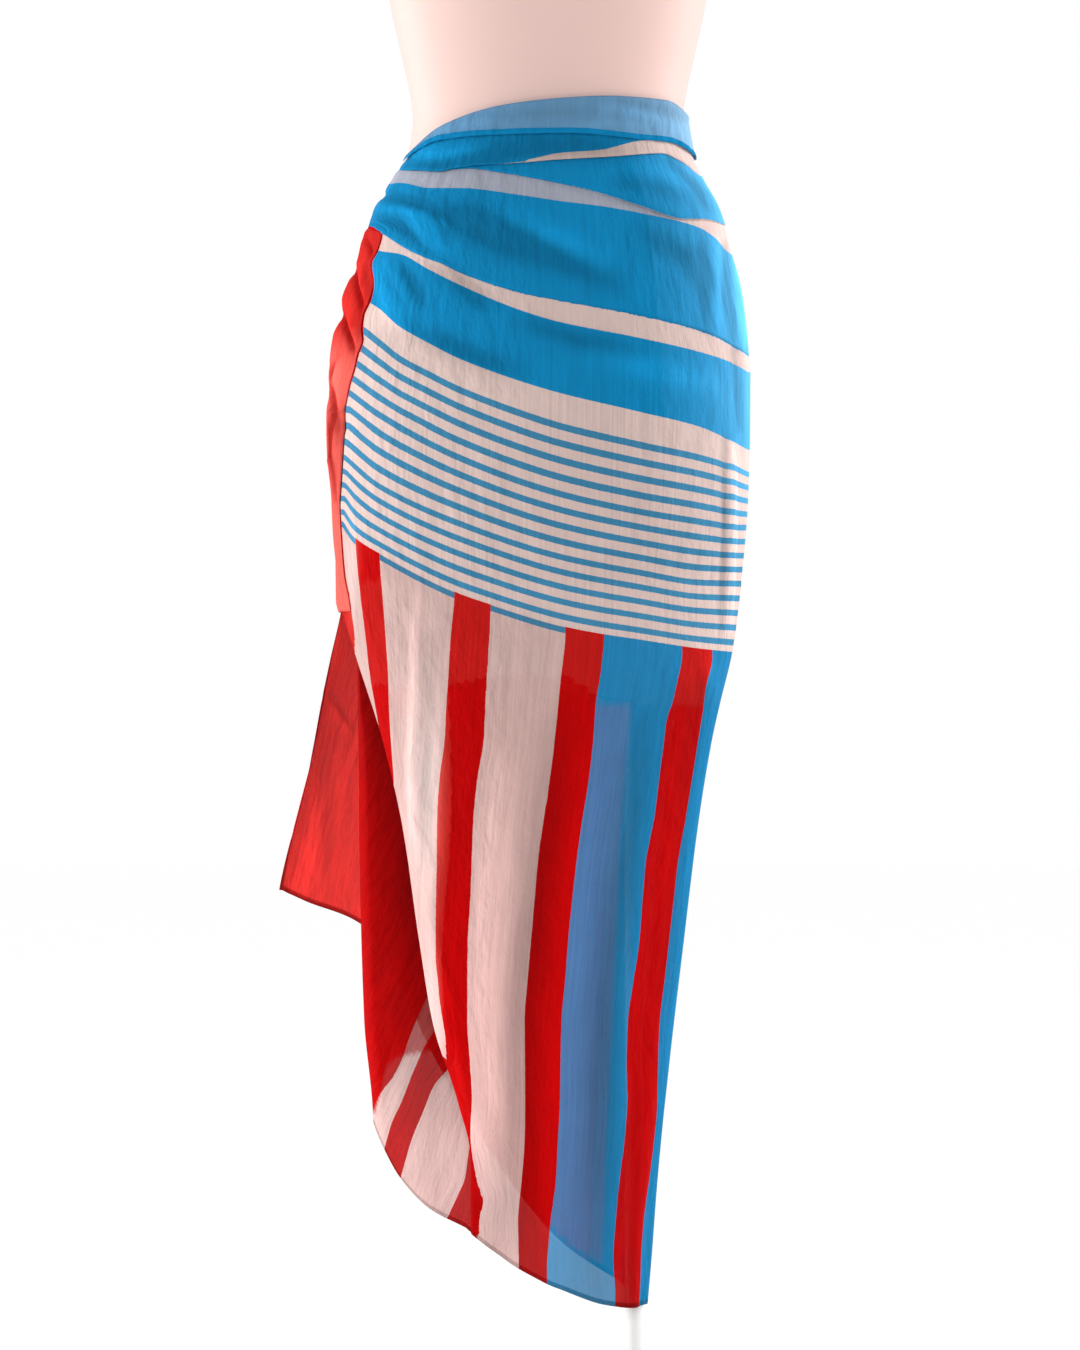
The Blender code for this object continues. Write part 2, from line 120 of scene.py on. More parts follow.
class Wires:
    """Adds nodes to a material or a world, so that each finish reads as a short recipe."""

    def __init__(self, owner):
        owner.use_nodes = True
        self.owner = owner
        self.tree = owner.node_tree
        self.shader = self.tree.nodes.get("Principled BSDF")

    def fill(self, node, values):
        """Sets inputs of a node by name or number, or joins them to what works them out."""
        for key, value in values.items():
            value = getattr(value, "socket", value)
            if isinstance(value, bpy.types.NodeSocket):
                self.tree.links.new(value, node.inputs[key])
            else:
                node.inputs[key].default_value = value

    def add(self, kind, values=None, **settings):
        """A new node."""
        node = self.tree.nodes.new(kind)
        for key, value in settings.items():
            setattr(node, key, value)
        self.fill(node, values or {})
        return node

    def math(self, operation, first, second=0.0):
        """One step of arithmetic."""
        node = self.add("ShaderNodeMath", {0: first, 1: second}, operation=operation)
        return Number(self, node.outputs[0])

    def either(self, first, second):
        """The larger of two numbers."""
        return self.math("MAXIMUM", first, second)

    def band(self, value, low, high):
        """One inside a band and zero outside."""
        return self.math("GREATER_THAN", value, low) * self.math("LESS_THAN", value, high)

    def any_band(self, value, bands):
        """One inside any of the bands."""
        total = self.band(value, *bands[0])
        for band in bands[1:]:
            total = self.either(total, self.band(value, *band))
        return total

    def mix(self, share, first, second):
        """A colour between two."""
        node = self.add("ShaderNodeMix", {"Factor": share, 6: first, 7: second}, data_type="RGBA")
        return node.outputs[2]

    def choose(self, share, first, second):
        """A number between two."""
        node = self.add("ShaderNodeMix", {"Factor": share, 2: first, 3: second}, data_type="FLOAT")
        return Number(self, node.outputs[0])

    def fade(self, value, start, end):
        """Rises softly from zero at start to one at end."""
        node = self.add("ShaderNodeMapRange", {"Value": value, "From Min": start, "From Max": end},
                        interpolation_type="SMOOTHSTEP")
        return Number(self, node.outputs["Result"])

    def noise(self, place, scale, detail=2.0, stretch=(1.0, 1.0, 1.0)):
        """Soft noise from 0 to 1, finest along the axis with the largest stretch."""
        mapping = self.add("ShaderNodeMapping", {"Vector": place, "Scale": stretch})
        node = self.add("ShaderNodeTexNoise", {"Vector": mapping.outputs["Vector"], "Scale": scale,
                                               "Detail": detail})
        return Number(self, node.outputs["Fac"])

    def pair(self, uv_map):
        """Both numbers of a UV map."""
        place = self.add("ShaderNodeUVMap", uv_map=uv_map).outputs["UV"]
        split = self.add("ShaderNodeSeparateXYZ", {0: place})
        return Number(self, split.outputs[0]), Number(self, split.outputs[1])

    def relief(self, height, strength, distance):
        """Fine relief on the shader."""
        node = self.add("ShaderNodeBump", {"Height": height, "Strength": strength,
                                           "Distance": distance})
        self.fill(self.shader, {"Normal": node.outputs["Normal"]})

    def shown(self, end, lighting, seen, strength=1.0):
        """Ends a tree in what lights the object, and in what the camera sees in its place."""
        ray = self.add("ShaderNodeLightPath").outputs["Is Camera Ray"]
        share = self.math("MULTIPLY", ray, strength)
        mix = self.add("ShaderNodeMixShader", {0: share, 1: lighting.outputs[0], 2: seen.outputs[0]})
        self.fill(end, {"Surface": mix.outputs[0]})


def new_object(name, shape, *finishes):
    """Turns a bmesh into an object that carries its finishes."""
    mesh = bpy.data.meshes.new(name)
    shape.to_mesh(mesh)
    shape.free()
    for finish in finishes:
        mesh.materials.append(finish)
    item = bpy.data.objects.new(name, mesh)
    scene.collection.objects.link(item)
    return item


print("helpers ready")

# %% [markdown]
# A soft pale studio: white all round, a broad lamp to either side of the form and a weaker one in
# front. That makes the sides of the cloth brighter than its middle, as in the photograph, and painted
# light on the cloth's sides adds to it.
# The floor is plain and nearly white. It isn't part of the object.

# %% Studio
WORLD_LIGHT = 0.42
WORLD_COLOUR = (1.0, 0.985, 0.97, 1.0)
SIDE_POWER = 50.0
RIGHT_POWER = SIDE_POWER * 1.27
FRONT_POWER = 42.0
FLOOR_RADIUS = 9.0
FLOOR_DROP = 0.0005
FLOOR_COLOUR = (0.93, 0.93, 0.93, 1.0)
FLOOR_WHITE = 0.90
FLOOR_GLOW = 1.06


def make_world():
    """White for the eye, and a softer even light for the object."""
    scene.world = bpy.data.worlds.new("studio")
    wires = Wires(scene.world)
    wires.tree.nodes.clear()
    seen = wires.add("ShaderNodeBackground", {"Color": (1.0, 1.0, 1.0, 1.0), "Strength": 1.0})
    light = wires.add("ShaderNodeBackground", {"Color": WORLD_COLOUR, "Strength": WORLD_LIGHT})
    wires.shown(wires.add("ShaderNodeOutputWorld"), light, seen)


def soft_lamp(name, place, aim, width, height, power):
    """A square studio lamp that points at a spot of the form."""
    data = bpy.data.lights.new(name, "AREA")
    data.shape = "RECTANGLE"
    data.size = width
    data.size_y = height
    data.energy = power
    lamp = bpy.data.objects.new(name, data)
    lamp.location = place
    lamp.rotation_euler = (Vector(aim) - Vector(place)).to_track_quat("-Z", "Y").to_euler()
    scene.collection.objects.link(lamp)


def make_floor():
    """A plain pale floor, just under the base plate."""
    wires = Wires(bpy.data.materials.new("pale_floor"))
    wires.fill(wires.shader, {"Base Color": FLOOR_COLOUR, "Roughness": 0.9,
                              "Specular IOR Level": 0.1})
    glow = wires.add("ShaderNodeEmission", {"Strength": FLOOR_GLOW})
    wires.shown(wires.tree.nodes["Material Output"], wires.shader, glow, FLOOR_WHITE)
    shape = bmesh.new()
    bmesh.ops.create_circle(shape, cap_ends=True, segments=96, radius=FLOOR_RADIUS)
    bmesh.ops.translate(shape, verts=shape.verts, vec=(0.0, 0.0, -FLOOR_DROP))
    new_object("studio_floor", shape, wires.owner)


make_world()
make_floor()
soft_lamp("lamp_left", (-2.3, 0.30, 1.2), (0.0, 0.0, 0.8), 1.4, 2.4, SIDE_POWER)
soft_lamp("lamp_right", (2.3, 0.15, 1.6), (0.0, 0.0, 1.05), 1.4, 1.8, RIGHT_POWER)
soft_lamp("lamp_front", (-1.9, -2.7, 1.5), (0.0, 0.0, 0.7), 1.4, 1.2, FRONT_POWER)
scene.view_settings.view_transform = "Standard"
scene.view_settings.look = "None"
print("floor and three lamps")

# %% [markdown]
# Sizes read along smooth curves. The tables below are the same ones the CAD model was made from:
# half widths and depths of the form by height, the free edges of the cloth and its upper edge and
# hem. A reader that never overshoots keeps the cloth from bulging between two sizes.

# %% Curves through sizes


def curve(rows, column=1, open_ended=False):
    """A reader of one column of a table: smooth, and never past the values on either side."""
    keys = [row[0] for row in rows]
    values = [row[column] for row in rows]
    steps = [(values[k + 1] - values[k]) / (keys[k + 1] - keys[k]) for k in range(len(keys) - 1)]
    slopes = []
    for k in range(len(keys)):
        before = steps[max(k - 1, 0)]
        after = steps[min(k, len(steps) - 1)]
        slopes.append(0.0 if before * after <= 0.0 else 2.0 * before * after / (before + after))

    def read(at):
        if at <= keys[0]:
            return values[0] + (at - keys[0]) * steps[0] * open_ended
        if at >= keys[-1]:
            return values[-1] + (at - keys[-1]) * steps[-1] * open_ended
        low = bisect.bisect_right(keys, at) - 1
        span = keys[low + 1] - keys[low]
        t = (at - keys[low]) / span
        value = (1.0 + 2.0 * t) * (1.0 - t) ** 2 * values[low]
        value += t * (1.0 - t) ** 2 * span * slopes[low]
        value += t * t * (3.0 - 2.0 * t) * values[low + 1]
        value += t * t * (t - 1.0) * span * slopes[low + 1]
        return value

    return read


def power(value, exponent):
    """Raises a signed number to a power and keeps its sign."""
    return math.copysign(abs(value) ** exponent, value)


def clamp(value, low=0.0, high=1.0):
    """Holds a number between two limits."""
    return min(high, max(low, value))


def solve(test, low, high, steps=34):
    """The place between low and high at which test turns from false to true."""
    for _ in range(steps):
        middle = (low + high) / 2.0
        if test(middle):
            high = middle
        else:
            low = middle
    return (low + high) / 2.0


# %% Sizes of the form
BODY_POWER = 2.2
NECK_TOP = 1.650
BUST_HEIGHT = 1.335
BUST_SPREAD = 0.072
BUST_RISE = 0.024
BUST_RADIUS = 0.078
# height, half width, depth in front, depth behind
FORM_SECTIONS = [
    (0.600, 0.1430, 0.084, 0.094),
    (0.660, 0.1570, 0.090, 0.106),
    (0.720, 0.1650, 0.095, 0.118),
    (0.790, 0.1710, 0.099, 0.126),
    (0.850, 0.1728, 0.100, 0.125),
    (0.897, 0.1735, 0.100, 0.118),
    (0.940, 0.1685, 0.098, 0.107),
    (0.980, 0.1615, 0.094, 0.097),
    (1.020, 0.1530, 0.089, 0.090),
    (1.045, 0.1460, 0.085, 0.086),
    (1.075, 0.1300, 0.081, 0.082),
    (1.100, 0.1200, 0.078, 0.079),
    (1.122, 0.1175, 0.076, 0.077),
    (1.140, 0.1192, 0.076, 0.076),
    (1.160, 0.1232, 0.077, 0.077),
    (1.193, 0.1308, 0.082, 0.079),
    (1.227, 0.1380, 0.088, 0.083),
    (1.290, 0.1490, 0.099, 0.090),
    (1.340, 0.1520, 0.102, 0.096),
    (1.400, 0.1535, 0.098, 0.100),
    (1.450, 0.1580, 0.087, 0.097),
    (1.485, 0.1600, 0.075, 0.088),
    (1.512, 0.1500, 0.064, 0.076),
    (1.534, 0.1250, 0.057, 0.066),
    (1.554, 0.0930, 0.053, 0.059),
    (1.578, 0.0660, 0.051, 0.054),
    (1.612, 0.0540, 0.051, 0.052),
    (1.650, 0.0520, 0.052, 0.052),
]
# place across, height of the form's lower end
FORM_LOWER_END = [
    (-0.150, 0.6275),
    (-0.090, 0.6275),
    (-0.025, 0.6370),
    (0.012, 0.6340),
    (0.052, 0.6150),
    (0.150, 0.6150),
]
form_half = curve(FORM_SECTIONS, 1)
form_front = curve(FORM_SECTIONS, 2)
form_back = curve(FORM_SECTIONS, 3)
form_lower_end = curve(FORM_LOWER_END)


def form_place(height, angle, grow=0.0):
    """Plan place on the form, or outside it by grow. 0 is the wearer's left, 90 the back."""
    turn = math.radians(angle)
    depth = (form_back if math.sin(turn) > 0.0 else form_front)(height)
    x = (form_half(height) + grow) * power(math.cos(turn), 2.0 / BODY_POWER)
    y = (depth + grow) * power(math.sin(turn), 2.0 / BODY_POWER)
    return x, y


# %% Sizes of the cloth
CLOTH_GROW = 0.0026
HANG_BELOW = 0.720
# height, half width on the wearer's left, depth in front, depth behind
HANG_SECTIONS = [
    (0.080, 0.0840, 0.036, 0.036),
    (0.131, 0.0885, 0.040, 0.040),
    (0.201, 0.0940, 0.045, 0.047),
    (0.305, 0.1050, 0.053, 0.057),
    (0.410, 0.1180, 0.063, 0.070),
    (0.514, 0.1310, 0.075, 0.085),
    (0.584, 0.1425, 0.085, 0.097),
    (0.618, 0.1500, 0.089, 0.103),
    (0.660, 0.1600, 0.093, 0.109),
    (0.720, 0.1680, 0.098, 0.121),
]
# height, x, y of the folded edge of the front
FRONT_EDGE = [
    (0.140, -0.0690, -0.033),
    (0.228, -0.0690, -0.036),
    (0.271, -0.0790, -0.036),
    (0.340, -0.1010, -0.034),
    (0.410, -0.1120, -0.032),
    (0.510, -0.1260, -0.029),
    (0.584, -0.1430, -0.024),
    (0.628, -0.1570, -0.020),
    (0.651, -0.1650, -0.014),
    (0.684, -0.1755, -0.006),
    (0.705, -0.1820, -0.002),
    (0.758, -0.1825, 0.000),
    (0.793, -0.1800, 0.000),
    (0.850, -0.1765, 0.000),
]
# height, x, y of the free edge of the tail
TAIL_EDGE = [
    (0.440, -0.2380, 0.046),
    (0.450, -0.2365, 0.046),
    (0.530, -0.2180, 0.043),
    (0.601, -0.2020, 0.038),
    (0.653, -0.1900, 0.032),
    (0.710, -0.1790, 0.022),
    (0.790, -0.1745, 0.006),
    (0.850, -0.1765, 0.001),
]
# height, left x, right x, left y, right y of the end that falls inside the front
FALL_SECTIONS = [
    (0.150, -0.1200, -0.0705, -0.022, -0.032),
    (0.228, -0.1500, -0.0705, -0.012, -0.034),
    (0.271, -0.1530, -0.0660, -0.008, -0.026),
    (0.340, -0.1600, -0.0700, -0.005, -0.022),
    (0.480, -0.1640, -0.0880, -0.003, -0.018),
    (0.580, -0.1650, -0.1150, -0.002, -0.014),
    (0.612, -0.1655, -0.1500, -0.002, -0.010),
    (0.650, -0.1660, -0.1630, -0.002, -0.004),
]
# x, height
TOP_FRONT = [
    (-0.130, 1.076),
    (-0.118, 1.088),
    (-0.090, 1.107),
    (-0.041, 1.121),
    (0.010, 1.127),
    (0.062, 1.130),
    (0.100, 1.130),
    (0.122, 1.122),
]
TOP_BACK = [
    (-0.150, 1.050),
    (-0.120, 1.060),
    (-0.080, 1.092),
    (-0.030, 1.116),
    (0.040, 1.126),
    (0.122, 1.122),
]
HEM_FRONT = [
    (-0.075, 0.166),
    (-0.025, 0.130),
    (0.000, 0.116),
    (0.012, 0.1115),
    (0.048, 0.098),
    (0.078, 0.093),
    (0.090, 0.094),
]
HEM_FALL = [
    (-0.154, 0.256),
    (-0.147, 0.240),
    (-0.128, 0.206),
    (-0.102, 0.180),
    (-0.069, 0.163),
]
HEM_BACK = [
    (-0.240, 0.452),
    (-0.216, 0.440),
    (-0.165, 0.418),
    (-0.094, 0.290),
    (-0.024, 0.180),
    (0.017, 0.136),
    (0.056, 0.112),
    (0.084, 0.094),
]
hang_half = curve(HANG_SECTIONS, 1)
hang_front = curve(HANG_SECTIONS, 2)
hang_back = curve(HANG_SECTIONS, 3)
front_edge_x = curve(FRONT_EDGE, 1)
front_edge_y = curve(FRONT_EDGE, 2)
tail_edge_x = curve(TAIL_EDGE, 1)
tail_edge_y = curve(TAIL_EDGE, 2)
fall_left_x = curve(FALL_SECTIONS, 1)
fall_right_x = curve(FALL_SECTIONS, 2)
fall_left_y = curve(FALL_SECTIONS, 3)
fall_right_y = curve(FALL_SECTIONS, 4)
top_front = curve(TOP_FRONT)
top_back = curve(TOP_BACK)
hem_front = curve(HEM_FRONT)
hem_fall = curve(HEM_FALL)
hem_back = curve(HEM_BACK)
print("sizes read at", len(FORM_SECTIONS) + len(HANG_SECTIONS), "heights")


def wrap_place(height, angle):
    """Plan place of the wrapped cloth: -180 is the front's folded edge, 180 the tail's edge."""
    turn = math.radians(angle)
    behind = angle > 0.0
    across = power(math.cos(turn), 2.0 / BODY_POWER)
    deep = abs(math.sin(turn)) ** (2.0 / BODY_POWER)
    if height > FRONT_EDGE[-1][0]:
        return form_place(height, angle, CLOTH_GROW)
    if height > HANG_BELOW:
        left = form_half(height) + CLOTH_GROW
        depth = (form_back if behind else form_front)(height) + CLOTH_GROW
    else:
        left = hang_half(height)
        depth = (hang_back if behind else hang_front)(height)
    side = 1.0 if behind else -1.0
    if across > 0.0:
        return left * across, side * depth * deep
    edge_x = (tail_edge_x if behind else front_edge_x)(height)
    edge_y = (tail_edge_y if behind else front_edge_y)(height)
    return -edge_x * across, edge_y + (side * depth - edge_y) * deep


def outward(height, angle):
    """Level direction that points out of the wrapped cloth."""
    near = max(-180.0, angle - 1.5)
    far = min(180.0, angle + 1.5)
    x0, y0 = wrap_place(height, near)
    x1, y1 = wrap_place(height, far)
    size = math.hypot(x1 - x0, y1 - y0) or 1.0
    return (y1 - y0) / size, -(x1 - x0) / size


def top_height(angle):
    """Height of the cloth's upper edge."""
    line = top_back if angle > 0.0 else top_front
    return solve(lambda height: height > line(wrap_place(height, angle)[0]), 0.9, 1.2)


def hem_height(angle):
    """Height of the cloth's hem."""
    line = hem_back if angle > 0.0 else hem_front
    return solve(lambda height: height > line(wrap_place(height, angle)[0]), 0.05, 0.6)


# %% [markdown]
# The stripes are woven or printed in straight lines on the flat cloth, so each point of the cloth
# carries its place on the flat cloth as its UV, in metres: u across the cloth, v down from the
# upper edge. The tables below say where in the picture a few of those lines run. Between them the
# cloth is taken as smooth. In a real workshop a pattern cutter would mark the same lines with
# chalk on the draped cloth.

# %% Lines across the cloth
# Each line: its place v on the flat cloth, then column and row in the picture.
LEVELS = [
    (0.1600, [(385, 185), (400, 183), (430, 188), (460, 188), (520, 195), (560, 201), (600, 206),
              (640, 213), (700, 228), (720, 244), (738, 262)]),
    (0.2440, [(371, 228), (385, 234), (400, 244), (412, 251), (425, 257), (440, 263), (460, 273),
              (520, 293), (560, 301), (640, 316), (700, 331), (735, 347), (748, 356)]),
    (0.2625, [(371, 247), (380, 251), (400, 254), (430, 270), (460, 285), (520, 310), (560, 322),
              (640, 338), (700, 352), (735, 364), (748, 372)]),
    (0.3215, [(365, 300), (380, 309), (400, 327), (430, 344), (460, 359), (520, 381), (560, 393),
              (640, 412), (700, 427), (735, 443), (748, 450)]),
    (0.3465, [(350, 318), (365, 328), (380, 340), (400, 356), (430, 372), (460, 387), (520, 410),
              (560, 423), (640, 442), (700, 455), (735, 466), (748, 472)]),
    (0.4001, [(350, 390), (380, 412), (460, 455), (560, 491), (640, 509), (700, 519), (735, 525)]),
    (0.4537, [(345, 455), (380, 484), (460, 521), (560, 554), (640, 570), (700, 580), (735, 581)]),
    (0.5207, [(343, 523), (354, 539), (380, 556), (454, 594), (491, 607), (560, 628), (600, 636),
              (640, 642), (700, 651), (738, 655)]),
]
UPPER_WHITE = [(400, 160), (480, 162), (525, 160), (560, 153), (600, 150), (640, 141), (660, 140),
               (680, 145), (700, 160)]
FOLD_ONE = [(400, 170), (418, 170), (440, 171), (455, 168), (480, 165), (525, 162), (560, 159),
            (612, 156), (660, 153), (680, 161), (700, 176)]
FOLD_TWO = [(400, 171), (440, 172), (455, 169), (470, 168), (500, 172), (560, 183), (600, 193),
            (640, 206), (685, 219), (700, 219), (728, 227), (740, 240)]
# v above and below each fold, by column of the picture; a difference is cloth tucked away
FOLD_ONE_V = [(400, 0.055, 0.1475), (455, 0.064, 0.1440), (480, 0.070, 0.1400),
              (525, 0.080, 0.1330), (560, 0.086, 0.1240), (600, 0.089, 0.1140),
              (640, 0.091, 0.1040), (680, 0.0949, 0.0960), (745, 0.0949, 0.0952)]
FOLD_TWO_V = [(400, 0.1478, 0.1480), (440, 0.1462, 0.1464), (456, 0.1449, 0.1451),
              (560, 0.1449, 0.1453), (600, 0.1449, 0.1490), (640, 0.1449, 0.1535),
              (700, 0.1449, 0.1515), (722, 0.1449, 0.1465), (745, 0.1449, 0.1451)]
FOLD_THREE_V = [(371, 0.2438, 0.2520), (400, 0.2438, 0.2535), (412, 0.2438, 0.2520),
                (430, 0.2438, 0.2442), (745, 0.2438, 0.2440)]
level_lines = [(v, curve(rows)) for v, rows in LEVELS]
upper_white = curve(UPPER_WHITE)
fold_one = curve(FOLD_ONE)
fold_two = curve(FOLD_TWO)
fold_one_v = [curve(FOLD_ONE_V, 1), curve(FOLD_ONE_V, 2)]
fold_two_v = [curve(FOLD_TWO_V, 1), curve(FOLD_TWO_V, 2)]
fold_three_v = [curve(FOLD_THREE_V, 1), curve(FOLD_THREE_V, 2)]
print("lines across the cloth:", len(LEVELS) + 3)

# %% Lines down the cloth
# Each line: its place u on the flat cloth, then row and column in the picture.
DOWN_LINES = [
    (0.000, 657, [(205, 356), (224, 368), (228, 378), (231, 384), (252, 378.5), (263, 373),
                  (282, 376), (301, 371.5), (315, 365), (329, 363.5),
                  (340, 364.5), (355, 359), (365, 357), (386, 351), (411, 346),
                  (432, 343), (449, 341.5), (467, 341), (500, 341), (540, 343), (575, 346),
                  (600, 351), (640, 355.5)]),
    (0.030, 745, [(560, 356.5), (600, 361), (640, 366), (680, 371), (700, 374.5), (720, 378),
                  (745, 382)]),
    (0.060, 790, [(560, 379.5), (600, 383), (640, 386), (680, 388.5), (700, 389), (740, 391),
                  (760, 392.5), (790, 395)]),
    (0.130, 1065, [(600, 454.5), (640, 450.5), (680, 448), (700, 446.5), (740, 444.5), (780, 439.5),
                   (820, 437.5), (860, 437.5), (900, 437), (960, 437), (980, 439), (1000, 441),
                   (1020, 444), (1040, 447), (1060, 448)]),
    (0.160, 1400, [(610, 491), (640, 489.5), (680, 487), (700, 486), (740, 484), (780, 477.5),
                   (820, 473.5), (860, 472), (900, 470.5), (940, 468), (980, 467.5), (1020, 467.5),
                   (1060, 470.5), (1100, 473.5), (1140, 471.5), (1160, 474), (1180, 478),
                   (1200, 484.5), (1220, 480)]),
    (0.230, 1400, [(640, 565), (680, 560.5), (700, 558.5), (740, 554.5), (780, 549.5), (820, 543.5),
                   (860, 538), (900, 534.5), (940, 531), (980, 527.5), (1020, 524.5), (1100, 525),
                   (1140, 524.5), (1180, 521.5), (1220, 518), (1260, 519)]),
    (0.260, 1400, [(640, 604), (680, 599.5), (700, 596), (740, 593), (780, 588.5), (820, 582),
                   (860, 576.5), (900, 572), (940, 568), (980, 565), (1020, 561.5), (1060, 560.5),
                   (1100, 560), (1140, 558), (1180, 556), (1220, 551), (1260, 547)]),
    (0.330, 1400, [(660, 682), (680, 677.5), (700, 673), (720, 666), (740, 663.5), (780, 658.5),
                   (820, 653.5), (860, 646), (900, 642.5), (940, 639.5), (980, 633.5), (1020, 628),
                   (1060, 626.5), (1100, 627.5), (1140, 624.5), (1180, 619.5), (1220, 615.5),
                   (1260, 613), (1290, 615)]),
    (0.360, 1400, [(660, 712), (680, 707), (700, 704.5), (740, 698), (780, 691.5), (820, 685),
                   (860, 678), (900, 673.5), (940, 669), (980, 664.5), (1020, 659.5), (1060, 658),
                   (1100, 658), (1140, 655), (1180, 650), (1220, 643), (1260, 640.5), (1290, 641)]),
]
# row of the picture, u at the front's folded edge
EDGE_U = [(560, -0.040), (600, -0.025), (657, 0.0), (745, 0.030), (790, 0.060), (836, 0.080),
          (900, 0.100), (980, 0.117), (1065, 0.130), (1154, 0.148), (1240, 0.160)]
BLOCK_WIDTH = 0.585
SPLIT_ANGLE = 68.0
LINES_FROM_ROW = 575.0
# degrees over which the wandering of the red border dies out in the cloth beside it
BORDER_REACH = 14.0
LADDER_BOTTOM = 0.070
LADDER_STEP = 0.005
LADDER_RUNGS = 222
# metres of cloth in a degree: beside the red border, and across the back
EDGE_U_SLOPE = 0.00297
BACK_U_SLOPE = 0.0029


def angle_of_line(line, height):
    """Angle at which a line down the cloth passes a height."""
    def right_of_line(angle):
        x, y = wrap_place(height, angle)
        column, row = in_picture(x, y, height)
        return column > line(row)
    return solve(right_of_line, -180.0, -0.5, 26)


def lay_out_down_lines():
    """For a ladder of heights, the angles of the lines down the cloth and the u of each."""
    ladder = []
    readers = [(u, last, curve(rows)) for u, last, rows in DOWN_LINES]
    edge_u = curve(EDGE_U)
    start_height = height_of_row(LINES_FROM_ROW)
    start = [angle_of_line(line, start_height) for u, last, line in readers]
    for step in range(LADDER_RUNGS):
        height = LADDER_BOTTOM + LADDER_STEP * step
        row = in_picture(*wrap_place(height, -170.0), height)[1]
        found = []
        if height >= start_height:
            first = angle_of_line(readers[0][2], height)
            edge = edge_u(LINES_FROM_ROW) - EDGE_U_SLOPE * (first - start[0])
            covered = first < -179.5
            found.append((-180.0, 0.004 if covered else edge))
            if not covered:
                found.append((first, 0.0))
            for (u, last, line), angle in zip(readers[1:], start[1:]):
                angle += (first - start[0]) * math.exp((start[0] - angle) / BORDER_REACH)
                if angle > found[-1][0] + 0.5:
                    found.append((angle, u))
        else:
            found.append((-180.0, edge_u(row)))
            for u, last, line in readers:
                angle = angle_of_line(line, height)
                if row < last - 2.0 and angle > found[-1][0] + 0.05 and u > found[0][1]:
                    found.append((angle, u))
        found.append((SPLIT_ANGLE, BLOCK_WIDTH))
        found.append((180.0, BLOCK_WIDTH + BACK_U_SLOPE * (180.0 - SPLIT_ANGLE)))
        ladder.append(found)
    return ladder


down_ladder = lay_out_down_lines()


def u_on_rung(found, angle):
    """u at an angle, on one rung of the ladder."""
    for (a0, u0), (a1, u1) in zip(found, found[1:]):
        if angle <= a1 and a1 > a0:
            return u0 + (u1 - u0) * (angle - a0) / (a1 - a0)
    return found[-1][1]


def flat_u(height, angle):
    """Place across the flat cloth of a point of the wrap."""
    rung = clamp((height - LADDER_BOTTOM) / LADDER_STEP, 0.0, LADDER_RUNGS - 2.0)
    low = int(rung)
    part = rung - low
    below = u_on_rung(down_ladder[low], angle)
    above = u_on_rung(down_ladder[low + 1], angle)
    return below + (above - below) * part


print("lines down the cloth:", len(DOWN_LINES))
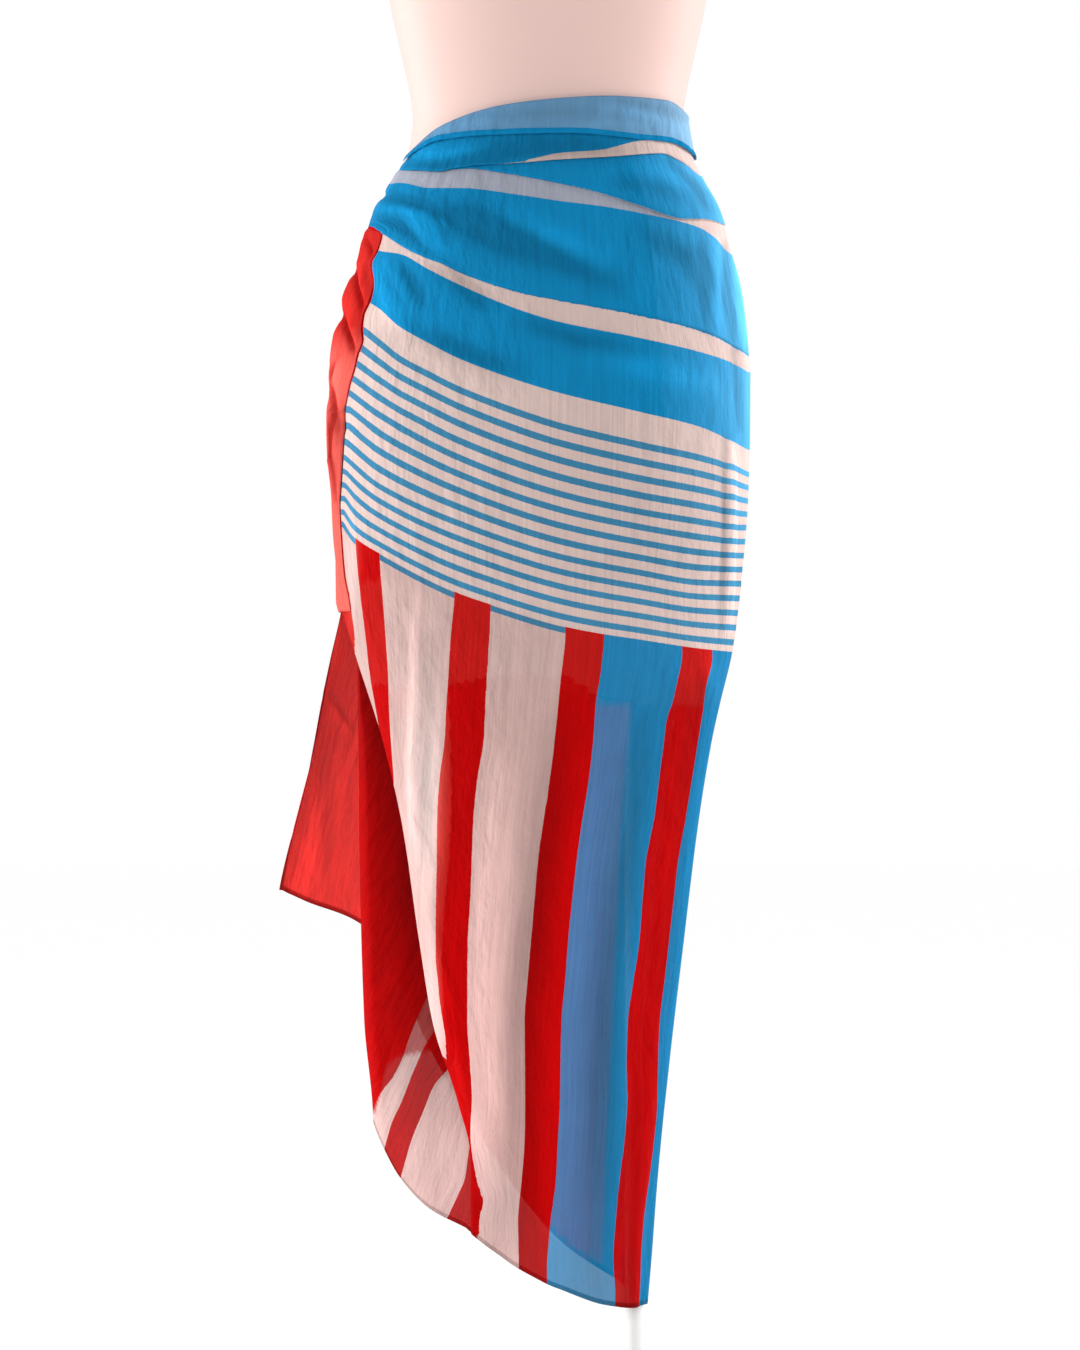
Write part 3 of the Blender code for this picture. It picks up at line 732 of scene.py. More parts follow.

# %% [markdown]
# Cloth is never quite smooth. Its creases are laid on as soft ridges and troughs along short
# lines, each with its own height and breadth. Laying them on one by one costs more care than a
# cloth simulation, but it puts every crease where the photograph has it and is the same on every run.

# %% Creases
# Each crease: height of the ridge and half breadth in millimetres, then column and row points.
FRONT_CREASES = [
    (-1.4, 9.0, [(400, 200), (430, 208), (470, 225), (505, 243), (540, 262)]),
    (1.3, 5.0, [(432, 203), (441, 215), (444, 232), (443, 252)]),
    (-1.6, 3.4, [(386, 199), (404, 200), (426, 206), (448, 217)]),
    (1.3, 3.4, [(384, 206), (400, 207), (420, 214), (440, 226)]),
    (-1.4, 3.4, [(378, 216), (394, 222), (412, 234), (430, 250)]),
    (-1.5, 3.0, [(434, 217), (443, 228), (448, 240)]),
    (-1.3, 4.5, [(408, 163), (440, 164), (480, 158), (520, 152)]),
    (1.1, 4.0, [(412, 154), (446, 154), (486, 147)]),
    (-1.5, 5.0, [(398, 264), (412, 282), (424, 304)]),
    (1.2, 4.5, [(388, 262), (400, 282), (412, 308)]),
    (-1.2, 4.0, [(446, 276), (462, 292), (482, 308)]),
    (-1.4, 3.6, [(668, 160), (686, 178), (704, 192)]),
    (-1.2, 3.4, [(690, 176), (702, 196), (708, 212)]),
    (-1.6, 8.0, [(470, 210), (520, 232), (570, 262), (612, 284)]),
    (1.2, 7.0, [(500, 214), (550, 236), (600, 260)]),
    (-1.0, 6.0, [(520, 320), (580, 340), (640, 352)]),
    (-1.2, 7.0, [(420, 330), (470, 352), (520, 372)]),
    (1.0, 8.0, [(600, 356), (660, 372), (710, 384)]),
    (-1.2, 8.0, [(640, 230), (690, 260), (720, 300)]),
    (1.0, 7.0, [(415, 203), (424, 225), (430, 252)]),
    (0.9, 4.0, [(446, 268), (455, 285), (466, 300)]),
    (-1.1, 6.0, [(436, 258), (462, 280), (492, 302)]),
    (1.5, 6.0, [(373, 262), (384, 285), (396, 318)]),
    (-1.0, 6.0, [(382, 262), (395, 285), (410, 305)]),
    (-1.3, 8.0, [(470, 150), (520, 146), (580, 146), (630, 150)]),
    (1.0, 7.0, [(640, 170), (675, 178), (705, 190)]),
    (-0.9, 6.0, [(610, 182), (650, 184), (690, 196)]),
    (2.0, 3.0, [(731, 445), (731, 500), (730, 560), (728, 630)]),
    (-1.6, 2.6, [(725, 440), (725, 520), (722, 632)]),
    (-1.3, 3.0, [(701, 232), (703, 280), (706, 330)]),
    (1.2, 2.6, [(713, 238), (716, 285), (719, 335)]),
    (-1.8, 2.6, [(725, 243), (730, 300), (736, 352)]),
    (1.6, 2.4, [(733, 250), (738, 300), (743, 345)]),
    (-1.5, 2.6, [(735, 352), (738, 390), (740, 430)]),
    (1.6, 3.2, [(418, 596), (416, 640), (414, 700), (412, 760), (413, 820), (417, 865)]),
    (-1.2, 7.0, [(428, 640), (430, 700), (428, 780), (422, 860)]),
    (0.9, 4.0, [(438, 700), (437, 790), (440, 880)]),
    (1.2, 4.5, [(700, 648), (706, 668), (712, 690)]),
    (-1.0, 4.0, [(695, 655), (700, 675), (705, 700)]),
    (1.4, 12.0, [(600, 720), (580, 860), (566, 1000), (560, 1150), (552, 1275)]),
    (-1.6, 12.0, [(560, 720), (540, 860), (520, 1000), (512, 1150), (510, 1240)]),
    (1.8, 11.0, [(502, 760), (492, 900), (488, 1040), (492, 1180)]),
    (-1.5, 10.0, [(640, 730), (622, 860), (606, 1000), (600, 1150), (596, 1290)]),
    (1.7, 10.0, [(676, 720), (660, 860), (644, 1000), (638, 1150), (628, 1295)]),
    (1.2, 8.0, [(455, 900), (456, 1000), (466, 1090), (470, 1150)]),
]


def crease_reach(crease, column, row):
    """How far a crease lifts the cloth at a spot of the picture, in metres."""
    height, breadth, points = crease
    breadth = breadth / 1000.0 / PIXEL
    nearest = None
    total = len(points) - 1
    for k in range(total):
        x0, y0 = points[k]
        x1, y1 = points[k + 1]
        dx = x1 - x0
        dy = y1 - y0
        t = ((column - x0) * dx + (row - y0) * dy) / (dx * dx + dy * dy)
        if (t < -1.0 and k == 0) or (t > 2.0 and k == total - 1):
            continue
        inside = clamp(t)
        gap = math.hypot(column - x0 - inside * dx, row - y0 - inside * dy)
        if nearest is None or gap < nearest[0]:
            nearest = (gap, (k + inside) / total)
    if nearest is None or nearest[0] > 3.2 * breadth:
        return 0.0
    fade = math.sin(math.pi * (0.08 + 0.84 * nearest[1])) ** 0.7
    return height / 1000.0 * fade * math.exp(-0.5 * (nearest[0] / breadth) ** 2)


def front_creases(column, row):
    """All creases of the front at a spot of the picture."""
    total = 0.0
    for crease in FRONT_CREASES:
        points = crease[2]
        reach = 4.0 * crease[1] / 1000.0 / PIXEL
        if points[0][1] - reach < row < points[-1][1] + reach or points[0][1] > points[-1][1]:
            total += crease_reach(crease, column, row)
    return total


# row of the picture, half height in rows, how far the front's edge stands out in metres
EDGE_FOLDS = [(170, 3.0, -0.0022), (187, 6.0, 0.0012), (196, 3.0, -0.0030), (212, 10.0, 0.0018)]
EDGE_FOLD_ANGLE = 24.0
CREASE_GAIN = 1.7
HANG_GAIN = 1.2
LEAST_OUT = -0.0020
# painted shade in crease troughs and painted light on their ridges, per metre of lift
CREASE_SHADE = 430.0
# row of the picture below which the cloth hangs free
HANG_FROM_ROW = 640.0
# painted light round the sides of the hips, and degrees over which it fades in front and behind
PAINTED_RIM_LIGHT = 0.95
RIM_WIDTH = 33.0
RIM_WIDTH_BEHIND = 16.0
# spots of painted light, where light comes through: column, row, half width, half height, strength
PAINTED_LIGHT_SPOTS = [(426, 780, 15, 110, 0.95), (431, 1020, 8, 70, 0.8), (352, 570, 6, 60, 0.4)]


def edge_fold(row, angle):
    """Small folds of the front's edge where it leaves the knot."""
    near = max(0.0, 1.0 - (180.0 + angle) / EDGE_FOLD_ANGLE)
    return near * sum(out * math.exp(-((row - at) / tall) ** 2) for at, tall, out in EDGE_FOLDS)


def painted_rim_light(angle, height):
    """Painted light that comes round the side of the hips, strongest at the wearer's left."""
    width = RIM_WIDTH if angle <= 0.0 else RIM_WIDTH_BEHIND
    return PAINTED_RIM_LIGHT * math.exp(-(angle / width) ** 2) * clamp((height - HANG_BELOW) / 0.15)


def painted_light_through(column, row, angle, height):
    """How much painted light lies on the front at a spot of the picture, from 0 to 1: spots where light
    comes through, the folded edge and the sides.
    """
    lit = sum(much * math.exp(-((column - x) / wide) ** 2 - ((row - y) / tall) ** 2)
              for x, y, wide, tall, much in PAINTED_LIGHT_SPOTS)
    edge = math.exp(-((180.0 + angle) / 3.2) ** 2) * clamp((row - HANG_FROM_ROW) / 160.0)
    return min(1.0, lit + 0.5 * edge + painted_rim_light(angle, height))


def hang_waves(height, angle):
    """Soft standing waves of the cloth that hangs free, fading out towards the hips."""
    loose = clamp((0.640 - height) / 0.35)
    turn = math.radians(angle)
    wave = 1.4 * math.sin(5.0 * turn + 4.0 * height) + 1.1 * math.sin(9.0 * turn - 3.0 * height + 0.7)
    wave += 0.7 * math.sin(14.0 * turn + 7.0 * height + 2.1)
    return 0.001 * wave * loose


def body_waves(height, angle):
    """Faint slanting drag lines that the pull of the knot leaves on the hips."""
    turn = math.radians(angle)
    near = math.exp(-((height - 0.97) / 0.10) ** 2)
    wave = math.sin(34.0 * height + 3.2 * turn) + 0.6 * math.sin(61.0 * height - 4.5 * turn + 1.0)
    return 0.00055 * wave * near


# %% [markdown]
# Cloth material. The stripes are read from the flat place of each point, so they bend with the
# folds. Three colours are enough: a white that is slightly sheer, a blue and a red. Threads show
# as fine streaks along and across, and each colour lets its own small share of light through.
# Each corner of a sheet also carries painted shade and painted light in its UV map named layers:
# how much painted shade darkens the cloth there, how much painted light brightens it or, with a
# minus, how much of the red cloth behind it is painted in as showing through.

# %% Cloth materials
WHITE_BANDS = [(0.0800, 0.0950), (0.1450, 0.1600), (0.2440, 0.2625), (0.3215, 0.3465)]
# narrow blue lines: the first one's place v, the step between them and their width
PIN_START = 0.3462
PIN_STEP = 0.0134
PIN_WIDTH = 0.0056
LAST_PIN = (0.5190, 0.5242)
BARS_START = 0.5184
RED_BARS = [(0.030, 0.060), (0.130, 0.160), (0.230, 0.260), (0.330, 0.360), (0.470, 0.520)]
BLUE_BARS = [(0.260, 0.330), (0.360, 0.470), (0.520, 0.585)]
# where a white band has blue cloth behind it, painted in as showing through: its v, and the u over
# which that fades out
WHITE_BACKED = (0.13, 0.17)
BACKED_FADE = (0.36, 0.31)
# v over which the white of the bars turns from its painted shade at the hip to its painted red light
# below
LOW_WHITE_FADE = (0.58, 0.95)
RED = (0.500, 0.0006, 0.0012, 1.0)
BLUE = (0.005, 0.235, 0.500, 1.0)
PIN_BLUE = (0.050, 0.230, 0.400, 1.0)
WHITE = (0.780, 0.610, 0.565, 1.0)
# painted show-through: white with blue cloth behind it
WHITE_OVER_BLUE = (0.420, 0.450, 0.540, 1.0)
# painted shade on the white at the hip, and painted red light through the white lower down
WHITE_IN_PAINTED_SHADE = (0.660, 0.455, 0.425, 1.0)
WHITE_IN_PAINTED_RED_LIGHT = (0.840, 0.540, 0.510, 1.0)
# lit copies of the colours, mixed in where light is painted on
RED_LIT = (1.000, 0.190, 0.150, 1.0)
BLUE_LIT = (0.150, 0.590, 1.000, 1.0)
WHITE_LIT = (0.980, 0.770, 0.730, 1.0)
PALE_BACK = (0.400, 0.480, 0.560, 1.0)
# closeness, one where no light comes through; the second number is for the bars
BLUE_CLOSE = (0.985, 0.90)
WHITE_CLOSE = (0.90, 0.94)
RED_CLOSE = 0.985
# the inner end, on its own and with the red cloth behind it
INNER_RED_CLOSE = (0.975, 0.9995)
CUFF_CLOSE = 0.95
CUFF_SATURATION = 0.86
# the cuff: paler as the wrong side, and paler still by a share of the painted light
CUFF_PALE = 0.18
CUFF_PALE_LIT = 0.30
CUFF_HEM = 0.0048
# how far painted shade darkens, then shares of the red behind painted in as showing through
SHADE_DEPTH = 0.42
RED_IN_BLUE = 0.14
RED_IN_WHITE = 0.03
RED_IN_INNER_WHITE = 0.84
HEM_WIDTH = 0.0042
HEM_DARKER = 0.38
HEM_CLOSER = 0.7
EDGE_WOBBLE = 0.0007


def striped_colours(wires, u, v, lit, red_behind_painted, inner):
    """Colour and closeness of the striped block, from a place on the flat cloth."""
    pins = wires.math("MODULO", v - PIN_START, PIN_STEP)
    pin = wires.math("LESS_THAN", pins, PIN_WIDTH) * wires.band(v, PIN_START, LAST_PIN[1])
    pin = wires.either(pin, wires.band(v, *LAST_PIN))
    upper_blue = wires.math("LESS_THAN", v, PIN_START) * (1.0 - wires.any_band(v, WHITE_BANDS))
    bars = wires.math("GREATER_THAN", v, BARS_START)
    blue_bar = wires.any_band(u, BLUE_BARS) * bars
    is_blue = wires.either(wires.either(pin, upper_blue), blue_bar)
    red_end = wires.either(wires.math("LESS_THAN", u, 0.0), wires.math("GREATER_THAN", u, BLOCK_WIDTH))
    is_red = wires.either(wires.any_band(u, RED_BARS) * bars, red_end)
    # painted show-through of blue behind the white bands, painted shade and red light on the bars'
    # white
    backed = wires.band(v, *WHITE_BACKED) * wires.fade(u, *BACKED_FADE)
    white = wires.mix(wires.fade(v, *LOW_WHITE_FADE), WHITE_IN_PAINTED_SHADE, WHITE_IN_PAINTED_RED_LIGHT)
    white = wires.mix(backed, wires.mix(bars, WHITE, white), WHITE_OVER_BLUE)
    # painted show-through of the red cloth behind
    white = wires.mix(red_behind_painted * (RED_IN_INNER_WHITE if inner else RED_IN_WHITE), white, RED)
    pin_alone = wires.either(pin - blue_bar, 0.0)
    blue = wires.mix(red_behind_painted * RED_IN_BLUE, wires.mix(pin_alone, BLUE, PIN_BLUE), RED)
    # painted light mixes in the lit colours
    colour = wires.mix(is_blue, wires.mix(lit, white, WHITE_LIT), wires.mix(lit, blue, BLUE_LIT))
    colour = wires.mix(is_red, colour, wires.mix(lit, RED, RED_LIT))
    close = wires.choose(is_blue, wires.choose(bars, *WHITE_CLOSE), wires.choose(bars, *BLUE_CLOSE))
    close_red = wires.choose(red_behind_painted, *INNER_RED_CLOSE) if inner else RED_CLOSE
    return colour, wires.choose(is_red, close, close_red)


def striped_cloth(name, plain=None, inner=False):
    """The sarong's cloth. plain names a stretch of one colour, inner the end inside the front."""
    wires = Wires(bpy.data.materials.new(name))
    place = wires.add("ShaderNodeUVMap", uv_map="cloth").outputs["UV"]
    u, v = wires.pair("cloth")
    # the map named layers: painted shade, and painted light or, with a minus, the painted red behind
    painted_shade, light = wires.pair("layers")
    lit = wires.either(light, 0.0)
    red_behind_painted = wires.either(light * -1.0, 0.0)
    at_hem = wires.math("LESS_THAN", wires.pair("hem")[0], HEM_WIDTH)
    if plain is None:
        wobble = (wires.noise(place, 420.0) - 0.5) * EDGE_WOBBLE
        colour, close = striped_colours(wires, u + wobble, v + wobble, lit, red_behind_painted, inner)
    else:
        colour = wires.mix(lit, plain, RED_LIT if plain == RED else BLUE_LIT)
        close = RED_CLOSE if plain == RED else CUFF_CLOSE
    # threads across and along, thick spots in them, clouds, streaks and crumples; the crumples also
    # give the colour a painted shade that follows their relief
    long_threads = wires.noise(place, 1.0, 3.0, (1400.0, 26.0, 1.0))
    cross_threads = wires.noise(place, 1.0, 2.0, (30.0, 1500.0, 1.0))
    slubs = wires.noise(place, 1.0, 2.0, (260.0, 9.0, 1.0))
    patches = wires.noise(place, 9.0, 3.0)
    streaks = wires.noise(place, 1.0, 2.0, (520.0, 8.0, 1.0))
    crumples = wires.noise(place, 1.0, 4.0, (75.0, 34.0, 1.0))
    threads = long_threads * 0.5 + cross_threads * 0.3 + slubs * 0.2
    shade = threads * 0.42 + 0.38 + patches * 0.24 + streaks * 0.42 + crumples * 0.16
    # painted shade from the corners darkens the colour
    shade = shade * (1.0 - at_hem * HEM_DARKER) * (1.0 - painted_shade * SHADE_DEPTH)
    tint = wires.add("ShaderNodeHueSaturation", {
        "Color": colour, "Value": shade, "Saturation": CUFF_SATURATION if plain == BLUE else 1.0})
    colour = tint.outputs["Color"]
    if plain == BLUE:
        # the cuff's wrong side is paler, and paler still under painted light
        paler = wires.mix(lit * CUFF_PALE_LIT + CUFF_PALE, colour, PALE_BACK)
        colour = wires.mix(wires.math("LESS_THAN", v, CUFF_HEM), paler, BLUE)
    through = (1.0 - close) * ((threads - 0.5) * 0.5 + 1.0) * (1.0 - at_hem * HEM_CLOSER)
    # a sheet has two faces, so each lets the square root of the light through
    face = 1.0 - wires.math("SQRT", wires.either(through, 0.0))
    wires.relief(threads * 0.16 + crumples * 6.5, 0.7, 0.001)
    wires.fill(wires.shader, {"Base Color": colour, "Alpha": face, "Roughness": threads * 0.2 + 0.78,
                              "Specular IOR Level": 0.05})
    return wires.owner


cloth_right_side = striped_cloth("striped_cloth")
cloth_wrong_side = striped_cloth("striped_cloth_reverse")
cloth_inner_end = striped_cloth("striped_cloth_inner", inner=True)
red_cloth = striped_cloth("red_cloth", plain=RED)
blue_reverse = striped_cloth("blue_cloth_reverse", plain=BLUE)
print("cloth materials:", 5)

# %% [markdown]
# A sheet starts as a flat grid, like cloth on a table, and each of its corners is then moved to
# its place on the body. The grid operator numbers its corners row by row, so a table of corners
# with the same rows and columns fits it one to one. Solidify gives the sheet its thin body.

# %% Sheets from grids
SHEET_THICKNESS = 0.0005
NO_HEM = (1.0, 0.0)


def finished(name, node, slot, shape, *finishes):
    """Makes a smooth piece of a bmesh, which shows in place of a node of the CAD model."""
    item = new_object(name, shape, *finishes)
    item.data.polygons.foreach_set("use_smooth", [True] * len(item.data.polygons))
    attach(item, "root")
    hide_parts(node)
    return item


def lay_sheet(name, node, slot, rows, right_side, wrong_side):
    """A sheet from rows of corners, from the hem up, and its area.

    Each corner is its place, its flat place, its painted shade with its painted light, and how far
    off the nearest hem is."""
    columns = len(rows[0])
    corners = [corner for row in rows for corner in row]
    shape = bmesh.new()
    # the map named layers carries each corner's painted shade and painted light
    maps = [shape.loops.layers.uv.new(title) for title in ("cloth", "layers", "hem")]
    bmesh.ops.create_grid(shape, x_segments=columns - 1, y_segments=len(rows) - 1, size=0.5,
                          calc_uvs=True)
    for vert in shape.verts:
        vert.co = corners[vert.index][0]
    for face in shape.faces:
        for loop in face.loops:
            for layer, value in zip(maps, corners[loop.vert.index][1:]):
                loop[layer].uv = value
    item = finished(name, node, slot, shape, right_side, wrong_side)
    body = item.modifiers.new("thickness", "SOLIDIFY")
    body.thickness = SHEET_THICKNESS
    body.offset = 0.0
    body.material_offset = 1
    body.use_rim = True
    area = 0.0
    for low, high in zip(rows, rows[1:]):
        for k in range(columns - 1):
            start = Vector(low[k][0])
            area += (Vector(low[k + 1][0]) - start).cross(Vector(high[k][0]) - start).length
    print(name, len(rows), "rows of", columns, "and", round(area, 4), "square metres")
    return item, area


def moved_out(height, angle, out):
    """A place of the wrapped cloth, moved level out of it."""
    x, y = wrap_place(height, angle)
    out_x, out_y = outward(height, angle)
    return x + out_x * out, y + out_y * out, height


# %% [markdown]
# The front is the largest sheet: from its folded edge on the wearer's right, across the front and
# round the wearer's left hip to the back, where the striped block of the cloth ends. Its rows
# follow the stripes, so the three long folds at the hip can be real tucks: the cloth comes down
# over the fold, goes back up behind it and comes down again.

# %% Front sheet
FRONT_COLUMNS = 184
# rows of the grid between one line across the cloth and the next
ROW_COUNTS = [9, 5, 9, 5, 22, 6, 14, 7, 13, 13, 16, 104]
LEAST_ROW = 0.0006
TUCK_RISE = 0.0042
TUCK_OUT = 0.0024
TUCK_REACH = 0.034
# line that ends in a tuck, then the picture columns where the tuck starts, is full, fades, is gone
TUCK_SPANS = {2: (396, 420, 650, 700), 3: (450, 480, 700, 738), 5: (350, 362, 418, 440)}
# how a tuck goes back up: share of the rise, of the way to the next v, and of the standing out
TUCK_TURN = [(1.0, 0.5, 0.45), (0.9, 0.75, 0.12)]
# painted show-through: light off the form above its lower end, or the red back below it
FORM_BEHIND = 0.05
FORM_BEHIND_BELOW = 0.72
SOFT_EDGE = 0.005
BACK_DEPTH = 0.07
BACK_SEAM_SHIFT = 0.012
# least painted light below which the show-through is painted, then a painted shade on the side
LEAST_LIGHT = 0.04
SIDE_SHADE = 0.55
SIDE_SHADE_ANGLE = 37.0
SIDE_SHADE_WIDTH = 13.0
# the folded edge curls in: from this angle on, below this height, by up to this much
CURL_ANGLE = 173.0
CURL_BELOW = 0.86
CURL = 0.0060


def column_at(height, angle):
    """Column of the picture in which a place of the wrap shows."""
    return in_picture(*wrap_place(height, angle), height)[0]


def height_on_line(line, angle):
    """Height at which a column of the wrap reaches a line of the picture."""
    def above_line(height):
        column, row = in_picture(*wrap_place(height, angle), height)
        return row < line(column)
    return solve(above_line, 0.30, 1.16)


def guides_of_column(angle):
    """Height and flat v, above and below, of the guide lines of a column, from the top down."""
    seen = min(angle, 0.0)
    top = top_height(angle)
    shift = top - top_height(0.0) if angle > 0.0 else 0.0

    def height_at(line):
        return height_on_line(line, seen) + shift

    def fold_v(fold, height):
        return [reader(column_at(height, seen)) for reader in fold]

    first = height_at(fold_one)
    one_v = fold_v(fold_one_v, first)
    white_top = max(height_at(upper_white), first + 0.0012)
    white_v = min(WHITE_BANDS[0][0], one_v[0] - 0.0008)
    second = min(height_at(fold_two), first - 0.0010)
    heights = [height_at(line) for v, line in level_lines]
    hem = hem_height(angle)
    hem_v = level_lines[-1][0] + heights[-1] - hem
    guides = [(top, 0.0, 0.0), (white_top, white_v, white_v), (first, *one_v),
              (second, *fold_v(fold_two_v, second)), (heights[0], LEVELS[0][0], LEVELS[0][0]),
              (heights[1], *fold_v(fold_three_v, heights[1]))]
    guides += [(height, v, v) for height, (v, line) in zip(heights[2:], level_lines[2:])]
    guides.append((hem, hem_v, hem_v))
    for k in range(1, len(guides)):
        height, above, below = guides[k]
        guides[k] = (min(height, guides[k - 1][0] - LEAST_ROW), above, below)
    return guides


def tuck_depth(order, picture_column):
    """How strongly a fold stands out, from 0 to 1, along its length."""
    start, full, fading, gone = TUCK_SPANS[order]
    return clamp(min((picture_column - start) / (full - start),
                     (gone - picture_column) / (gone - fading)))


def add_tuck(rows, height, end_v, next_v, depth):
    """Lifts the cloth above a fold, and takes it up behind the fold and down again."""
    for back in range(1, len(rows)):
        row_height, row_v, lift = rows[-back]
        rise = row_height - height
        if rise > TUCK_REACH:
            break
        lift += TUCK_OUT * depth * (1.0 - rise / TUCK_REACH) ** 1.6
        rows[-back] = (row_height, row_v, lift)
    gap_v = next_v - end_v
    rows.append((height - 0.0004 * depth, end_v + gap_v * 0.1, TUCK_OUT * depth * 0.72))
    for up, along, out in TUCK_TURN:
        rows.append((height + TUCK_RISE * depth * up, end_v + gap_v * along, TUCK_OUT * depth * out))
    rows.append((height - 0.0004, next_v, 0.0))


def front_rows(angle):
    """Height, flat v and lift of every row of one column, from the top down."""
    guides = guides_of_column(angle)
    rows = [(guides[0][0], 0.0, 0.0)]
    for k, count in enumerate(ROW_COUNTS, start=1):
        above_height, skip, above_v = guides[k - 1]
        height, end_v, next_v = guides[k]
        for step in range(1, count + 1):
            share = step / count
            rows.append((above_height + (height - above_height) * share,
                         above_v + (end_v - above_v) * share, 0.0))
        if k in TUCK_SPANS:
            depth = tuck_depth(k, column_at(height, angle)) if angle <= 0.0 else 0.0
            add_tuck(rows, height, end_v, next_v, depth)
    return rows


def behind_front(column, row, x, height):
    """What is painted in as showing through the front: a little light off the form, or with a minus the
    red back.
    """
    form = clamp(0.5 + (height - form_lower_end(x)) / SOFT_EDGE)
    light = form * FORM_BEHIND if height < FORM_BEHIND_BELOW else 0.0
    if form == 1.0:
        return light
    back_height = height_of_row(row, BACK_DEPTH)
    back_x = (column - PICTURE_WIDTH / 2.0) * PIXEL * (1.0 + BACK_DEPTH / CAMERA_AWAY) + CAMERA_X
    split_x = wrap_place(max(back_height, 0.08), SPLIT_ANGLE)[0]
    beside = clamp(0.5 + (split_x + BACK_SEAM_SHIFT - back_x) / SOFT_EDGE)
    above = clamp(0.5 + (back_height - hem_back(back_x)) / SOFT_EDGE)
    return light - (1.0 - form) * beside * above


def side_shade(height, angle):
    """A soft painted shade on the left side of the hanging part."""
    below = clamp((0.645 - height) / 0.03)
    return SIDE_SHADE * below * math.exp(-((angle + SIDE_SHADE_ANGLE) / SIDE_SHADE_WIDTH) ** 2)


def front_corner(angle, hem, height, v, lift):
    """A corner of the front, with its creases and hanging waves, and its painted shade and painted
    light.
    """
    x, y = wrap_place(height, angle)
    column, row = in_picture(x, y, height)
    out = lift + hang_waves(height, angle) + body_waves(height, angle)
    # painted shade in creases and on the side, painted light through and round the front
    shade = 0.0
    lit = painted_rim_light(angle, height)
    if angle <= 0.0:
        crease = front_creases(column, row) * (CREASE_GAIN if row < HANG_FROM_ROW else HANG_GAIN)
        out += crease + edge_fold(row, angle)
        shade = clamp(-crease * CREASE_SHADE, -0.6, 0.75) + side_shade(height, angle)
        lit = painted_light_through(column, row, angle, height)
        if lit < LEAST_LIGHT:
            lit = behind_front(column, row, x, height)
    if height > HANG_BELOW - 0.1:
        out = max(out, LEAST_OUT)
    if angle < -CURL_ANGLE and height < CURL_BELOW:
        out -= CURL * ((-CURL_ANGLE - angle) / (180.0 - CURL_ANGLE)) ** 2.5
    return (moved_out(height, angle, out), (flat_u(height, angle), v), (shade, lit),
            (height - hem, 0.0))


def make_front():
    """The striped front."""
    columns = []
    for k in range(FRONT_COLUMNS + 1):
        angle = -180.0 + (SPLIT_ANGLE + 180.0) * k / FRONT_COLUMNS
        hem = hem_height(angle)
        columns.append([front_corner(angle, hem, *row) for row in reversed(front_rows(angle))])
    return lay_sheet("sarong_front", "wrap_front", "cloth_blue", list(zip(*columns)),
                     cloth_right_side, cloth_wrong_side)


sarong_front, front_area = make_front()

# %% [markdown]
# The back is the plain red end of the cloth. It goes from the end of the striped block across the
# back to the wearer's right hip, where its free edge leaves the body and hangs as a loose tail.
# Light comes through the tail, because no other cloth lies behind it; it is painted in as a brighter,
# paler red.

# %% Back sheet
BACK_COLUMNS = 120
BACK_ROWS = 230
# the two sheets are one cloth, so the back starts a little under the front
OVERLAP = 0.8
OVERLAP_UNDER = 0.0008
# creases of the tail: ridge and half breadth in millimetres, then column and row points
TAIL_CREASES = [
    (1.6, 2.6, [(328, 700), (338, 716), (350, 734)]),
    (-1.6, 2.6, [(331, 692), (342, 710), (354, 726)]),
    (1.3, 4.0, [(312, 770), (316, 820), (312, 880)]),
    (-1.2, 4.0, [(330, 760), (334, 830), (330, 900)]),
    (1.0, 4.0, [(296, 835), (310, 850), (322, 880)]),
]
TAIL_FROM_ANGLE = 116.0
# painted light through the tail: how much brighter, and how much paler, it is made
TAIL_BRIGHT = 2.9
TAIL_LIGHT = 0.10


def back_waves(height, angle):
    """Drag folds across the seat and long soft folds in the tail."""
    slope = (angle - SPLIT_ANGLE) / (180.0 - SPLIT_ANGLE)
    pull = math.exp(-((height - 0.98 - 0.05 * slope) / 0.09) ** 2) * slope
    wave = 0.0011 * pull * math.sin(78.0 * (height - 0.11 * slope) + 1.2)
    seat = math.exp(-((height - 0.74) / 0.10) ** 2)
    wave += 0.0009 * seat * math.sin(7.0 * math.radians(angle) + 9.0 * height)
    tail = max(0.0, (angle - 150.0) / 30.0) * clamp((0.78 - height) / 0.15)
    return wave + 0.0013 * tail * math.sin(0.35 * angle + 31.0 * height)


def tail_share(height, angle):
    """One in the tail that hangs clear of the body, zero in the back."""
    return clamp((angle - TAIL_FROM_ANGLE) / 16.0) * clamp((0.78 - height) / 0.10)


def back_corner(angle, hem, top, height):
    """A corner of the back or its tail."""
    x, y = wrap_place(height, angle)
    edge_x, edge_y = wrap_place(height, 180.0)
    to_hem = min(height - hem, math.hypot(x - edge_x, y - edge_y) if height < 0.80 else 1.0)
    tail = tail_share(height, angle)
    plain = tail * min(1.0, to_hem / HEM_WIDTH)
    crease = 0.0
    if tail > 0.0:
        column, row = in_picture(x, y, height)
        crease = tail * sum(crease_reach(fold, column, row) for fold in TAIL_CREASES)
    out = hang_waves(height, angle) + body_waves(height, angle) - crease
    out += back_waves(height, angle) * clamp((angle - SPLIT_ANGLE) / 6.0)
    out -= OVERLAP_UNDER * clamp(1.0 - (angle - SPLIT_ANGLE) / OVERLAP)
    # painted shade and light along the tail's creases, and painted light through the tail
    return (moved_out(height, angle, out), (flat_u(height, angle) + 0.001, top - height),
            (-TAIL_BRIGHT * plain - crease * CREASE_SHADE, TAIL_LIGHT * plain), (to_hem, 0.0))


